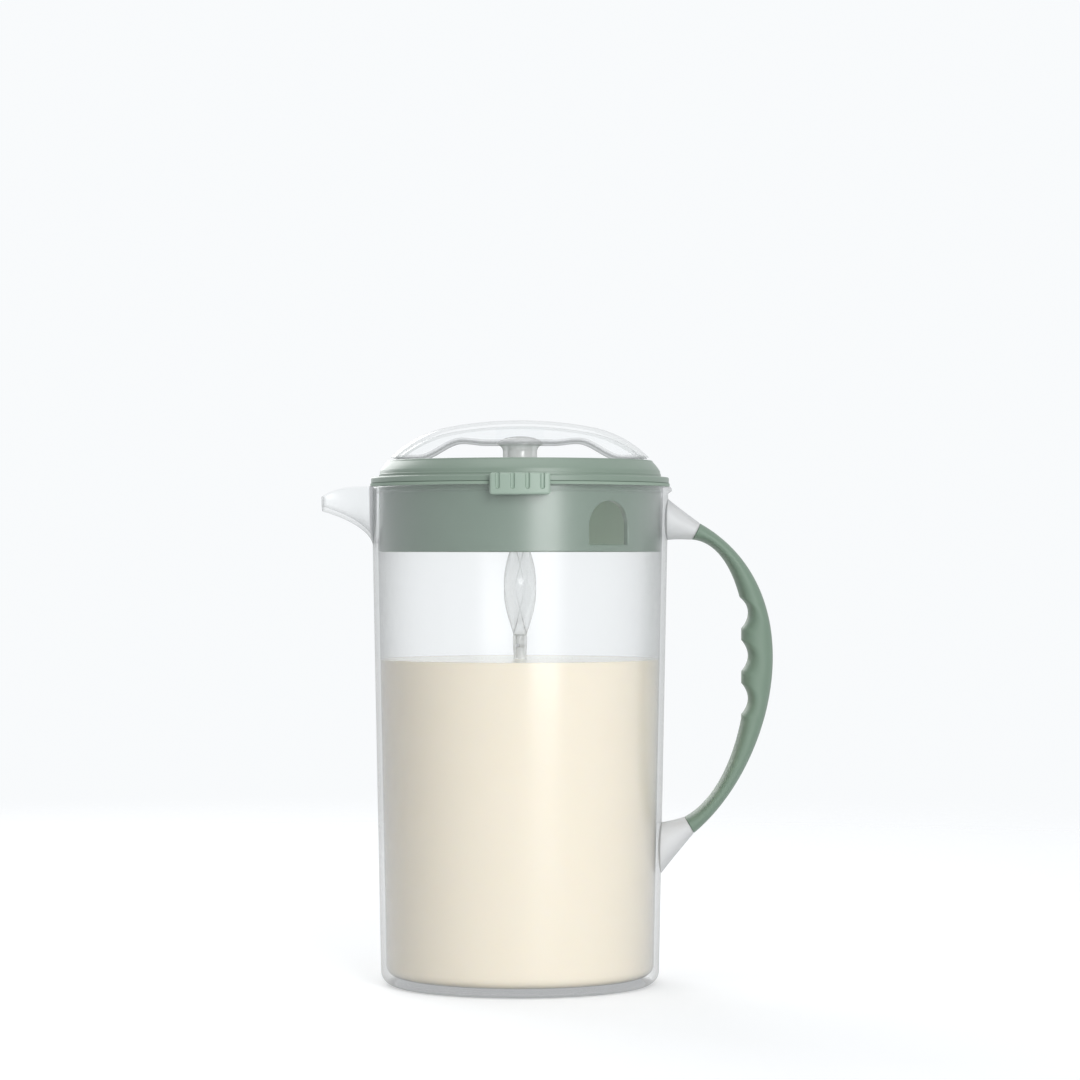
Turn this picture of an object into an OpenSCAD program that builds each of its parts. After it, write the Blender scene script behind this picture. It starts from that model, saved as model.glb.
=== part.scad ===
// Mixing pitcher for baby formula: a clear jug with a side handle, a green lid, and a plunger
// whose twisted shaft spins a mixing blade as it is pulled up and pushed down.
// Millimetres. +Z is up, +X points to the side handle, -X to the spout and -Y to the viewer.
// The origin is the centre of the jug's flat underside.

/* [Jug] */
// Height of the rim above the table
jug_h = 186; // [160:1:220]
// Outer radius of the wall at the rim
jug_top_r = 55.6; // [52:0.1:62]
// Outer radius of the wall just above the rounded foot
jug_foot_r = 52.1; // [46:0.1:55]
// Thickness of the wall
jug_wall = 2; // [1.5:0.1:3]
// Thickness of the floor
jug_floor = 3.2; // [2:0.1:5]
// Radius of the rounded outer edge of the foot
foot_round = 5; // [2:0.5:8]
// Radius of the rounded corner inside, between floor and wall
floor_round = 4; // [1:0.5:8]
// How far the rim's bead stands out past the wall
bead_out = 1.3; // [0.6:0.1:1.8]
// Height of the rim's bead
bead_h = 2.2; // [1.2:0.1:3]

/* [Spout] */
// Distance from the jug's axis to the tip of the spout
spout_reach = 74.1; // [66:0.1:82]
// Width of the spout where it leaves the wall
spout_root_w = 30; // [20:0.5:36]
// Width of the spout at its tip
spout_tip_w = 13; // [9:0.5:18]
// Height of the spout's side at its tip
spout_tip_h = 5.3; // [4:0.1:9]
// Drop of the spout's top edge from the rim to the tip
spout_drop = 3.9; // [0:0.1:8]
// Depth below the rim at which the spout's underside meets the wall
spout_root_h = 23; // [16:0.5:30]
// Thickness of the spout's wall
spout_wall = 1.8; // [1.2:0.1:2.6]

/* [Side handle] */
// Distance from the jug's axis to the back of the grip
grip_reach = 94.4; // [88:0.1:105]
// Thickness of the grip at its middle
grip_t = 11.4; // [10:0.1:16]
// How deep the finger side is cut flat along its middle
flat_cut = 2.1; // [0.5:0.1:3]
// Distance from the jug's axis to the outer corner of the grip's upper end
grip_top_x = 67.5; // [65:0.5:72]
// Depth below the rim of the outer corner of the grip's upper end
grip_top_drop = 13.7; // [11:0.1:20]
// Distance from the jug's axis to the outer corner of the grip's lower end
grip_low_x = 65.1; // [63:0.1:70]
// Height of the outer corner of the grip's lower end
grip_low_z = 56.3; // [50:0.1:65]
// Thickness of the grip at its two ends
grip_end_t = 6.8; // [6:0.1:9]
// Width of the grip across the hand
grip_w = 17; // [13:0.5:22]
// Depth of the finger grooves
groove_depth = 2.5; // [0:0.1:3]
// Height of the middle finger groove above the middle of the grip
groove_up = 8.5; // [2:0.1:14]
// Distance between the finger grooves
groove_pitch = 16.1; // [13:0.1:18]
// Width of one finger groove
groove_w = 11.4; // [8:0.1:13]
// Depth below the rim of the top of the upper root on the wall
root_top_drop = 4.9; // [4.5:0.1:9]
// Height of the upper root on the wall
root_top_h = 14.6; // [10:0.1:20]
// Height of the bottom of the lower root on the wall
root_low_z = 41.6; // [36:0.1:46]
// Height of the lower root on the wall
root_low_h = 18.3; // [12:0.1:24]
// Width of both roots on the wall
root_w = 19; // [17:0.5:26]
// Thickness of the frame's core inside the grip
core_t = 4; // [3:0.1:4.4]
// Width of the frame's core inside the grip
core_w = 11; // [7:0.5:12]

/* [Lid] */
// Gap between the lid's skirt and the jug's wall, at the skirt's lower edge
lid_gap = 0.4; // [0.3:0.05:0.8]
// Depth of the skirt below the flange
skirt_h = 25.6; // [18:0.1:32]
// Thickness of the lid's wall
lid_wall = 2.2; // [1.6:0.1:2.6]
// Thickness of the sealing ring
seal_t = 1.1; // [0.8:0.1:2]
// Width of the sealing ring
seal_w = 2.8; // [2:0.1:3.2]
// How far the flange stands out past the top of the jug's wall
flange_over = 0.2; // [0:0.1:0.8]
// Thickness of the flange
flange_t = 2.3; // [1.8:0.1:3]
// Distance from the flange's edge in to the foot of the crown
shoulder_in = 3; // [2:0.1:4]
// Distance from the flange's edge in to the crown's top edge
crown_in = 6.6; // [5.6:0.1:9]
// Height of the crown above the underside of the flange
crown_h = 8.6; // [7:0.1:12]
// Width of the crown's flat top
crown_top_w = 4.4; // [3.4:0.1:6]
// Depth of the deck below the crown's top
deck_depth = 8.3; // [6:0.1:9]
// Thickness of the deck
deck_t = 2.2; // [1.6:0.1:3]
// Width of the arched pour window in the skirt
window_w = 18; // [12:0.5:22]
// Height of the pour window
window_h = 15.9; // [12:0.1:18]
// Height of the skirt below the pour window
window_sill = 2.7; // [2:0.1:4]
// Direction of the pour window, anticlockwise from the side handle
window_angle = -51.5; // [-70:0.5:-40]

/* [Thumb tab] */
// Width of the tab
tab_w = 21.9; // [16:0.1:26]
// Height of the tab
tab_h = 7.9; // [6:0.1:8.2]
// How far the tab's top stands above the flange
tab_rise = 0.6; // [0.3:0.1:1.5]
// Thickness of the tab
tab_t = 2.4; // [1.8:0.1:3.5]
// Gap between the tab and the rim's bead
tab_gap = 0.4; // [0.3:0.05:0.8]
// Number of grooves in the tab
tab_grooves = 4; // [3:1:5]
// Distance between the grooves
tab_groove_pitch = 5.4; // [3.4:0.1:5.6]
// Width of one groove
tab_groove_w = 1.7; // [1:0.1:2.2]
// Depth of one groove
tab_groove_depth = 0.9; // [0.4:0.1:1.2]

/* [Shaft guide] */
// Radius of the guide's body in the deck
guide_r = 9.5; // [8.5:0.1:12]
// Length of the guide below the deck's top
guide_len = 6.5; // [4:0.1:10]
// How far the guide's flange reaches past its body
guide_lip = 3; // [1.5:0.1:5]
// Thickness of the guide's flange
guide_flange_t = 1.5; // [1:0.1:2.5]
// Gap all round between the guide's slot and the shaft
slot_gap = 0.3; // [0.25:0.05:0.5]

/* [Plunger handle] */
// Radius of the broad arc over the top of the handle
dome_top_arc = 146; // [120:1:240]
// Distance from the axis at which the broad arc becomes the side arc
dome_turn_r = 27; // [16:0.1:32]
// Radius of the side arc
dome_side_arc = 40.5; // [38:0.1:60]
// Width of the handle, front to back
bar_w = 30; // [24:0.5:38]
// Thickness of the handle's wall
bar_wall = 2.2; // [1.6:0.1:2.6]
// Height of the handle's lower edge over the lid's crown, beside the hub
wave_hub_h = 5.7; // [5:0.1:7]
// Height of the crest of the lower edge over the lid's crown
wave_crest_h = 6.4; // [5.8:0.1:8]
// Distance from the axis to the crest
wave_crest_x = 21.5; // [18:0.1:24]
// Distance from the axis at which the lower edge comes down to the crown
wave_foot_x = 38.3; // [34:0.1:42]
// Radius of the hub post
post_r = 6.4; // [6.1:0.1:8]
// Radius of the flared top of the hub
hub_r = 8.9; // [8:0.1:9.5]
// Height of the hub's domed top above its rim
hub_dome_h = 3.2; // [2:0.1:3.6]
// Thickness of the web that joins the hub to the top of the handle
web_t = 3; // [2:0.1:5]

/* [Shaft] */
// Length of one full turn of the twist
twist_pitch = 72; // [60:1:100]
// Width of the ribbon
ribbon_w = 12; // [10:0.1:13]
// Thickness of the ribbon
ribbon_t = 5.2; // [4:0.1:5.4]
// Length of the ribbon
ribbon_len = 58.8; // [40:0.1:80]
// Diameter of the lower shaft
rod_d = 6.3; // [6:0.1:7]
// Thickness of the lower shaft across its flats
rod_t = 5.4; // [5.2:0.1:5.8]
// Radius of the journal that turns in the plunger's post
journal_r = 3; // [2.6:0.05:3.2]
// Length of the bush round the journal
bush_len = 9.4; // [6:0.1:9.6]
// Thickness of the bush's wall
bush_wall = 1.55; // [1:0.05:1.8]
// Thickness of the shaft's head over the bush
head_t = 2.3; // [1.5:0.1:2.6]
// Radius of the peg that joins the two shafts
peg_r = 1.55; // [1.2:0.05:1.7]
// Length of the peg
peg_len = 8; // [6:0.1:12]
// Radius of the cross pin through the peg
pin_r = 0.6; // [0.4:0.05:0.8]
// Depth of the cross pin below the top of the lower shaft
pin_drop = 4; // [3:0.1:5]

/* [Mixing blade] */
// Outer radius of the blade's ring
blade_r = 31.5; // [24:0.1:40]
// Thickness of the ring's wall
blade_ring_t = 2; // [1.4:0.1:3]
// Height of the ring
blade_h = 5; // [4:0.1:8]
// Number of vanes
vanes = 7; // [5:1:9]
// Tilt of the vanes
vane_tilt = 24; // [15:1:35]
// Thickness of a vane
vane_t = 1.6; // [1.2:0.1:2]
// Share of each vane's sector that the vane covers, in degrees
vane_span = 34; // [20:1:38]
// How far the vanes stay inside the ring's height, at the top and at the bottom
vane_inset = 0.3; // [0.2:0.1:0.8]
// Radius of the blade's hub
blade_hub_r = 7.5; // [6.5:0.1:9]
// How far the hub stands above the ring
blade_hub_rise = 1.4; // [0.5:0.1:4]
// Radius of the shaft's spigot in the hub
spigot_r = 3; // [2.6:0.1:3.6]
// Gap between the cap under the blade and the jug's floor
cap_gap = 1.8; // [1:0.1:4]
// Radius of the cap under the blade
cap_r = 6; // [5:0.1:7]
// Height of the cap under the blade
cap_h = 2.9; // [2.4:0.1:4]
// Radius of the shaft's bell-shaped foot
bell_r = 7; // [5:0.1:7.4]
// Height of the bell-shaped foot
bell_h = 7; // [4:0.1:10]

/* [Stopper] */
// Distance from the top of the blade's ring up to the stopper
stopper_up = 40; // [34:0.5:60]
// Height of the stopper's collar
stopper_h = 9; // [7:0.1:12]
// Radius of the stopper's collar
stopper_r = 5.2; // [4.8:0.1:7]
// Outer radius of a finger ring
finger_ring_r = 5; // [4:0.1:6]
// Radius of the hole in a finger ring
finger_hole_r = 2.6; // [1.5:0.1:3]
// Thickness of a finger ring
finger_ring_t = 3; // [2:0.1:5]
// Distance of a finger ring's centre from the middle, sideways
finger_ring_x = 5.6; // [5.2:0.1:7]
// Distance of a finger ring's centre behind the shaft
finger_ring_y = 5.4; // [4.6:0.1:6.4]
// Width of the slit that lets the collar spring open
stopper_slit = 1.5; // [0.8:0.1:2.4]

/* [Fit] */
// Radial gap of a shaft that turns in its bush
running_gap = 0.05; // [0.03:0.01:0.1]
// Gap between pieces that are pushed together for good
seat_gap = 0.05; // [0.02:0.01:0.1]
// Gap between pieces that move past or rest near each other
free_gap = 0.3; // [0.25:0.05:0.5]

/* [Hidden] */
$fn = 96;

clear = [0.86, 0.89, 0.92, 0.45];
green = [0.55, 0.64, 0.57];
pale_seal = [0.8, 0.86, 0.8];
steel = [0.75, 0.76, 0.78];

// heights
skirt_z1 = jug_h + seal_t + 2 * seat_gap;
skirt_z0 = skirt_z1 - skirt_h;
flange_z1 = skirt_z1 + flange_t;
crown_z = skirt_z1 + crown_h;
deck_z = crown_z - deck_depth;
guide_z0 = deck_z - guide_len;
guide_z1 = deck_z + guide_flange_t;
ribbon_z1 = guide_z1 + free_gap;
ribbon_z0 = ribbon_z1 - ribbon_len;
post_z0 = ribbon_z1 + free_gap;
bush_z0 = post_z0 + 0.8;
bush_z1 = bush_z0 + bush_len;
head_z0 = bush_z1 + free_gap;
head_z1 = head_z0 + head_t;
cap_z0 = jug_floor + cap_gap;
blade_z0 = cap_z0 + cap_h + seat_gap;
blade_z1 = blade_z0 + blade_h;
blade_hub_z1 = blade_z1 + blade_hub_rise;
bell_z0 = blade_hub_z1 + seat_gap;
bell_z1 = bell_z0 + bell_h;
stopper_z0 = blade_z1 + stopper_up;
root_top_z = jug_h - root_top_drop;
grip_top_z = jug_h - grip_top_drop;
groove_z = (grip_top_z + grip_low_z) / 2 + groove_up;

// radii
bead_r = jug_top_r + bead_out;
skirt_r = jug_r(skirt_z0) - jug_wall - lid_gap;
flange_r = jug_top_r + flange_over;
shoulder_r = flange_r - shoulder_in;
crown_r = flange_r - crown_in;
crown_bore_r = crown_r - crown_top_w;
bush_r = journal_r + running_gap + bush_wall;
finger_reach = grip_reach - grip_t;
slot_w = ribbon_w + 2 * slot_gap;
slot_t = rod_t + 2 * slot_gap;

// outer radius of the jug's tapered wall at height z
function jug_r(z) =
    jug_foot_r + (jug_top_r - jug_foot_r) * (z - foot_round) / (jug_h - foot_round);

// points on an arc in a profile, from angle a0 to angle a1
function arc(centre, r, a0, a1, steps) =
    [for (i = [0 : steps]) centre + r * [cos(a0 + (a1 - a0) * i / steps), sin(a0 + (a1 - a0) * i / steps)]];

function mix(a, b, t) = a + (b - a) * t;

// a value that eases from a to b in an S-shaped curve
function ease(a, b, t) = a + (b - a) * (1 - cos(180 * t)) / 2;

function bezier(p, t) =
    pow(1 - t, 3) * p[0] + 3 * pow(1 - t, 2) * t * p[1] + 3 * (1 - t) * t * t * p[2] + pow(t, 3) * p[3];

// a power that keeps the sign, for rounded-square sections
function soft(v) = sign(v) * pow(abs(v), 0.85);

// mean of a ring's points
function middle(ring) = [for (i = [0 : 2]) [for (p = ring) p[i]] * [for (p = ring) 1 / len(ring)]];

// closed solid through a row of rings that have equally many points and run anticlockwise
// when they are seen from the last ring
module skin(rings) {
    n = len(rings);
    m = len(rings[0]);
    side_a = [for (k = [0 : n - 2], i = [0 : m - 1])
        [k * m + i, (k + 1) * m + i, (k + 1) * m + (i + 1) % m]];
    side_b = [for (k = [0 : n - 2], i = [0 : m - 1])
        [k * m + i, (k + 1) * m + (i + 1) % m, k * m + (i + 1) % m]];
    first_end = [for (i = [0 : m - 1]) [n * m, i, (i + 1) % m]];
    last_end = [for (i = [0 : m - 1]) [n * m + 1, (n - 1) * m + (i + 1) % m, (n - 1) * m + i]];
    points = concat([for (r = rings) each r], [middle(rings[0]), middle(rings[n - 1])]);
    polyhedron(points, concat(first_end, side_a, side_b, last_end), convexity = 6);
}

// ---- jug ----

jug_profile = concat(
    [[0, 0]],
    arc([jug_foot_r - foot_round, foot_round], foot_round, -90, 0, 8),
    [[jug_r(jug_h - bead_h), jug_h - bead_h]],
    arc([bead_r - bead_h / 2, jug_h - bead_h / 2], bead_h / 2, -60, 60, 6),
    [[bead_r - bead_h / 2, jug_h], [0, jug_h]]);

cavity_r = jug_r(jug_floor) - jug_wall;
cavity_profile = concat(
    [[0, jug_floor]],
    arc([cavity_r - floor_round, jug_floor + floor_round], floor_round, -90, 0, 6),
    [[jug_top_r - jug_wall, jug_h], [jug_top_r - jug_wall, jug_h + 1], [0, jug_h + 1]]);

// the spout: u runs from 0 at the wall to 1 at the tip
spout_steps = 12;
spout_sides = 14;
spout_root_x = jug_top_r - 0.6;
spout_tip_z = jug_h - spout_drop - spout_tip_h;
function spout_x(u) = -mix(spout_root_x, spout_reach, u * u);
function spout_half(u) = mix(spout_root_w, spout_tip_w, 1 - pow(1 - u * u, 1.3)) / 2;
function spout_top(u) = jug_h - spout_drop * pow(u, 7);
function spout_low(u) = mix(spout_tip_z, jug_h - spout_root_h, pow(1 - u, 1.1));

// U-shaped section, closed straight across at height top; wall is 0 for the outside
function spout_ring(x, u, wall, top) = concat(
    [for (i = [0 : spout_sides])
        let (a = 180 * i / spout_sides, depth = spout_top(u) - spout_low(u) - wall)
        [x, (spout_half(u) - wall) * cos(a), spout_top(u) - depth * sin(a)]],
    [[x, -spout_half(u) + wall, top], [x, spout_half(u) - wall, top]]);

module spout_outside() {
    inner_x = -(jug_top_r - jug_wall - 3);
    skin(concat(
        [spout_ring(inner_x, 0, 0, spout_top(0) + 0.01)],
        [for (k = [0 : spout_steps]) spout_ring(spout_x(k / spout_steps), k / spout_steps, 0,
                                                spout_top(k / spout_steps) + 0.01)]));
}

module spout_channel() {
    inner_x = -(jug_top_r - jug_wall - 6);
    over = jug_h + 5;
    skin(concat(
        [spout_ring(inner_x, 0, spout_wall, over)],
        [for (k = [0 : spout_steps]) spout_ring(spout_x(k / spout_steps), k / spout_steps, spout_wall, over)],
        [spout_ring(-spout_reach - 2, 1, spout_wall, over)]));
}

module jug_body() {
    color(clear)
    difference() {
        union() {
            rotate_extrude() polygon(jug_profile);
            spout_outside();
        }
        rotate_extrude() polygon(cavity_profile);
        spout_channel();
    }
}

// ---- side handle ----

grip_steps = 60;
grip_sides = 20;
grip_skew = 7.4;
grip_mid = (4 * grip_reach - (grip_top_x + grip_low_x) / 2) / 3;
back_curve = [
    [grip_top_x, grip_top_z],
    [grip_mid + grip_skew, grip_top_z - 24.9],
    [grip_mid - grip_skew, grip_low_z + 26.1],
    [grip_low_x, grip_low_z]];
finger_top = [grip_top_x, grip_top_z] - grip_end_t * [0.46, 0.89];
finger_low = [grip_low_x, grip_low_z] + grip_end_t * [-0.5, 0.87];
finger_mid = (8 * (finger_reach + flat_cut) - finger_top[0] - finger_low[0]) / 6;
finger_curve = [
    finger_top,
    [finger_mid, grip_top_z - 7.8],
    [finger_mid, grip_low_z + 22.1],
    finger_low];

// how deep the finger grooves are at height z
function groove(z) =
    let (d = min([for (k = [-1 : 1]) abs(z - groove_z - k * groove_pitch)]))
    d < groove_w / 2 ? groove_depth * pow(cos(180 * d / groove_w), 0.8) : 0;

function back_point(u) = bezier(back_curve, u);
function finger_flat(u) =
    let (p = bezier(finger_curve, u))
    [min(p[0], finger_reach), p[1]];
function finger_point(u) =
    let (p = finger_flat(u))
    p + [groove(p[1]), 0];

// oval ring between an outer and an inner point of the side view
function oval(outer, inner, w, sides) =
    let (c = (outer + inner) / 2, h = (outer - inner) / 2)
    [for (i = [0 : sides - 1])
        let (a = 360 * i / sides)
        [c[0] + h[0] * soft(cos(a)), -w / 2 * soft(sin(a)), c[1] + h[1] * soft(cos(a))]];

// ring of the core at u, grown by gap and pushed along by lead
function core_ring(u, gap, lead) =
    let (b = back_point(u), f = finger_flat(u), c = (b + f) / 2, n = (b - f) / norm(b - f),
         t = [n[1], -n[0]], mid = c + t * lead, reach = core_t / 2 + gap)
    oval(mid + n * reach, mid - n * reach, core_w + 2 * gap, 12);

module core(gap, lead) {
    core_steps = 30;
    skin(concat(
        [core_ring(0, gap, -lead)],
        [for (k = [1 : core_steps - 1]) core_ring(k / core_steps, gap, 0)],
        [core_ring(1, gap, lead)]));
}

// a root runs from the wall, between heights z_low and z_high, to one end of the grip
module root(z_high, z_low, back, finger) {
    root_steps = 6;
    wall_x = jug_r((z_high + z_low) / 2) - 1.5;
    fillet = 0.4;
    skin([for (k = [0 : root_steps])
        let (v = k / root_steps, spread = [0, fillet * pow(1 - v, 4)])
        oval(mix([wall_x, z_high], back, v) + spread, mix([wall_x, z_low], finger, v) - spread,
             ease(root_w, grip_w, v), grip_sides)]);
}

module handle_frame() {
    color(clear)
    difference() {
        union() {
            root(root_top_z, root_top_z - root_top_h, back_point(0), finger_point(0));
            core(0, 2);
            root(root_low_z + root_low_h, root_low_z, finger_point(1), back_point(1));
        }
        rotate_extrude()
        polygon([[0, 0], [jug_r(0) + seat_gap, 0], [jug_top_r + seat_gap, jug_h], [0, jug_h]]);
    }
}

module handle_grip() {
    color(green)
    difference() {
        skin([for (k = [0 : grip_steps])
            let (u = k / grip_steps)
            oval(back_point(u), finger_point(u), grip_w, grip_sides)]);
        core(seat_gap, 3);
    }
}

// ---- lid ----

// drop of the domed outline below its top, at distance r from the axis
dome_turn_a = asin(dome_turn_r / dome_top_arc);
dome_side_c = (dome_top_arc - dome_side_arc) * [sin(dome_turn_a), cos(dome_turn_a)];
function dome_drop(r) = dome_top_arc - (r < dome_turn_r
    ? sqrt(pow(dome_top_arc, 2) - r * r)
    : dome_side_c[1] + sqrt(pow(dome_side_arc, 2) - pow(r - dome_side_c[0], 2)));
dome_z = crown_z + dome_drop(crown_r);
crown_edge = 0.6;
crown_foot_h = 1.3;

lid_profile = concat(
    [[skirt_r - lid_wall, skirt_z0], [skirt_r - 0.4, skirt_z0], [skirt_r, skirt_z0 + 0.4],
     [skirt_r, skirt_z1], [flange_r - 0.3, skirt_z1], [flange_r, skirt_z1 + 0.3]],
    arc([flange_r - 0.6, flange_z1 - 0.6], 0.6, 0, 90, 4),
    [[shoulder_r + 0.3, flange_z1]],
    [for (i = [0 : 6]) [mix(shoulder_r, crown_r + crown_edge, i / 6),
                        mix(flange_z1 + crown_foot_h, crown_z - crown_edge, pow(i / 6, 0.7))]],
    [[crown_r, crown_z - 0.1], [crown_r - crown_edge, crown_z], [crown_bore_r + crown_edge, crown_z],
     [crown_bore_r, crown_z - crown_edge], [crown_bore_r, deck_z + 1], [crown_bore_r - 1, deck_z],
     [guide_r + seat_gap, deck_z], [guide_r + seat_gap, deck_z - deck_t],
     [crown_bore_r + lid_wall, deck_z - deck_t], [crown_bore_r + lid_wall, crown_z - lid_wall],
     [crown_r - lid_wall / 2, crown_z - lid_wall - 0.4], [skirt_r - lid_wall, skirt_z1 + lid_wall]]);

module pour_window() {
    arch_r = window_w / 2;
    sill_z = skirt_z0 + window_sill;
    rotate([0, 0, window_angle + 90])
    translate([0, 0, sill_z])
    rotate([90, 0, 0])
    linear_extrude(skirt_r + 5) {
        translate([-arch_r, 0]) square([window_w, window_h - arch_r]);
        intersection() {
            translate([0, window_h - arch_r]) circle(arch_r);
            translate([-arch_r, 0]) square([window_w, window_h]);
        }
    }
}

// block of the tab that sits in the flange, grown by gap; the flange's pocket is the same block
tab_foot_w = tab_w - 4;
tab_foot_t = 1.9;
module tab_foot(gap) {
    foot_z0 = flange_z1 + tab_rise - tab_foot_t - gap;
    intersection() {
        translate([0, 0, foot_z0])
        difference() {
            cylinder(r = bead_r + tab_gap + 0.5, h = tab_foot_t + 2 * gap);
            translate([0, 0, -1]) cylinder(r = shoulder_r + 0.3 - gap, h = tab_foot_t + 2 * gap + 2);
        }
        translate([-tab_foot_w / 2 - gap, -bead_r - 10, foot_z0 - 1])
        cube([tab_foot_w + 2 * gap, 20, tab_foot_t + 3]);
    }
}

module lid_shell() {
    color(green)
    difference() {
        rotate_extrude() polygon(lid_profile);
        pour_window();
        tab_foot(seat_gap);
    }
}

module thumb_tab() {
    in_r = bead_r + tab_gap;
    out_r = in_r + tab_t;
    z1 = flange_z1 + tab_rise;
    z0 = z1 - tab_h;
    color(green)
    difference() {
        union() {
            intersection() {
                rotate_extrude()
                polygon([[in_r, z0], [out_r - 0.5, z0], [out_r, z0 + 0.5], [out_r, z1 - 0.5],
                         [out_r - 0.5, z1], [in_r, z1]]);
                translate([-tab_w / 2, -out_r - 1, z0 - 1]) cube([tab_w, 20, tab_h + 2]);
            }
            tab_foot(0);
        }
        for (i = [0 : tab_grooves - 1])
            rotate([0, 0, asin((i - (tab_grooves - 1) / 2) * tab_groove_pitch / out_r)])
            translate([0, -out_r + tab_groove_depth, 0])
            rotate([90, 0, 0]) {
                translate([0, z0 + 2 + tab_groove_w / 2, 0]) cylinder(d = tab_groove_w, h = 5);
                translate([-tab_groove_w / 2, z0 + 2 + tab_groove_w / 2, 0])
                cube([tab_groove_w, tab_h, 5]);
            }
    }
}

module lid_seal() {
    inner_r = jug_top_r - jug_wall - free_gap;
    color(pale_seal)
    translate([0, 0, jug_h + seat_gap])
    difference() {
        cylinder(r = inner_r + seal_w, h = seal_t);
        translate([0, 0, -1]) cylinder(r = inner_r, h = seal_t + 2);
    }
}

// ---- twisted shaft and its guide ----

// direction of the ribbon's width at height z: edge-on to the viewer at the ribbon's lower end
function twist_angle(z) = (z - ribbon_z0) * 360 / twist_pitch - 90;

// half of an oblong section, a round end and a flat, with flat_steps points on the flat
function half_oblong(w, t, flat_steps) =
    let (end_a = asin(t / w), flat_x = w / 2 * cos(end_a), end_steps = 3)
    concat([for (i = [0 : end_steps - 1]) w / 2 * [cos(mix(-end_a, end_a, i / end_steps)),
                                                   sin(mix(-end_a, end_a, i / end_steps))]],
           [for (i = [0 : flat_steps - 1]) [mix(flat_x, -flat_x, i / flat_steps), t / 2]]);

// bar of that section that follows the twist from z0 to z1
module twisted_bar(w, t, z0, z1, flat_steps) {
    half = half_oblong(w, t, flat_steps);
    slices = ceil((z1 - z0) / 1.2);
    skin([for (k = [0 : slices])
        let (z = mix(z0, z1, k / slices), a = twist_angle(z))
        [for (side = [1, -1], p = half)
            [side * (p[0] * cos(a) - p[1] * sin(a)), side * (p[0] * sin(a) + p[1] * cos(a)), z]]]);
}

module shaft_guide() {
    color(green)
    difference() {
        union() {
            translate([0, 0, guide_z0]) cylinder(r = guide_r, h = guide_len + 0.5);
            translate([0, 0, deck_z]) cylinder(r = guide_r + guide_lip, h = guide_flange_t);
        }
        twisted_bar(slot_w, slot_t, guide_z0 - 0.6, guide_z1 + 0.6, 6);
    }
}

module upper_shaft() {
    color(clear)
    difference() {
        union() {
            twisted_bar(ribbon_w, ribbon_t, ribbon_z0, ribbon_z1, 5);
            translate([0, 0, guide_z1 + free_gap / 2])
            cylinder(r = journal_r, h = head_z0 - guide_z1 + free_gap);
            translate([0, 0, head_z0]) cylinder(r = bush_r - 0.4, h = head_t);
            translate([0, 0, ribbon_z0 - peg_len]) cylinder(r = peg_r, h = peg_len + 1);
        }
        cross_hole(pin_r + seat_gap);
    }
}

// the cross pin lies along the width of the twist, so that it passes through the guide's slot
module cross_hole(r) {
    pin_z = ribbon_z0 - pin_drop;
    translate([0, 0, pin_z])
    rotate([0, 90, twist_angle(pin_z)])
    cylinder(r = r, h = rod_d, center = true);
}

module lower_shaft() {
    color(clear)
    difference() {
        union() {
            twisted_bar(rod_d, rod_t, bell_z0 + 1, ribbon_z0 - seat_gap, 2);
            rotate_extrude()
            polygon(concat(
                [[0, bell_z0], [bell_r, bell_z0], [bell_r, bell_z0 + 1]],
                [for (i = [1 : 6]) [ease(bell_r, rod_d / 2 + 0.4, i / 6), bell_z0 + 1 + (bell_h - 1) * i / 6]],
                [[0, bell_z1]]));
            translate([0, 0, blade_z0 - seat_gap]) cylinder(r = spigot_r, h = bell_z0 - blade_z0 + 1);
            translate([0, 0, cap_z0 + 1]) cylinder(r = spigot_r - 1, h = cap_h);
        }
        translate([0, 0, ribbon_z0 - peg_len - 0.5]) cylinder(r = peg_r + seat_gap, h = peg_len + 1);
        cross_hole(pin_r + seat_gap);
    }
}

module bayonet_pin() {
    color(steel) cross_hole(pin_r);
}

module swivel_bush() {
    color(clear)
    translate([0, 0, bush_z0])
    difference() {
        cylinder(r = bush_r, h = bush_len);
        translate([0, 0, -1]) cylinder(r = journal_r + running_gap, h = bush_len + 2);
        translate([0, -0.6, -1]) cube([bush_r + 1, 1.2, bush_len + 2]);
    }
}

// ---- plunger handle ----

plunger_up = free_gap;
wave_dip_x = 12.7;
wave_steps = 10;
// lower edge of the handle's side view on the +X side, from the middle outwards
wave = concat(
    [[0, wave_hub_h], [hub_r, wave_hub_h]],
    [for (i = [1 : wave_steps]) [mix(wave_dip_x, wave_crest_x, i / wave_steps),
                                 ease(wave_hub_h, wave_crest_h, i / wave_steps)]],
    [for (i = [1 : wave_steps]) [mix(wave_crest_x, wave_foot_x, i / wave_steps),
                                 ease(wave_crest_h, 0, i / wave_steps)]],
    [[crown_r + 2, 0]]);

module dome(r, drop) {
    dome_steps = 24;
    rotate_extrude()
    polygon(concat(
        [[0, crown_z - 10], [r, crown_z - 10]],
        [for (i = [0 : dome_steps]) let (x = r * (1 - i / dome_steps)) [x, dome_z + plunger_up - drop - dome_drop(x)]]));
}

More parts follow.
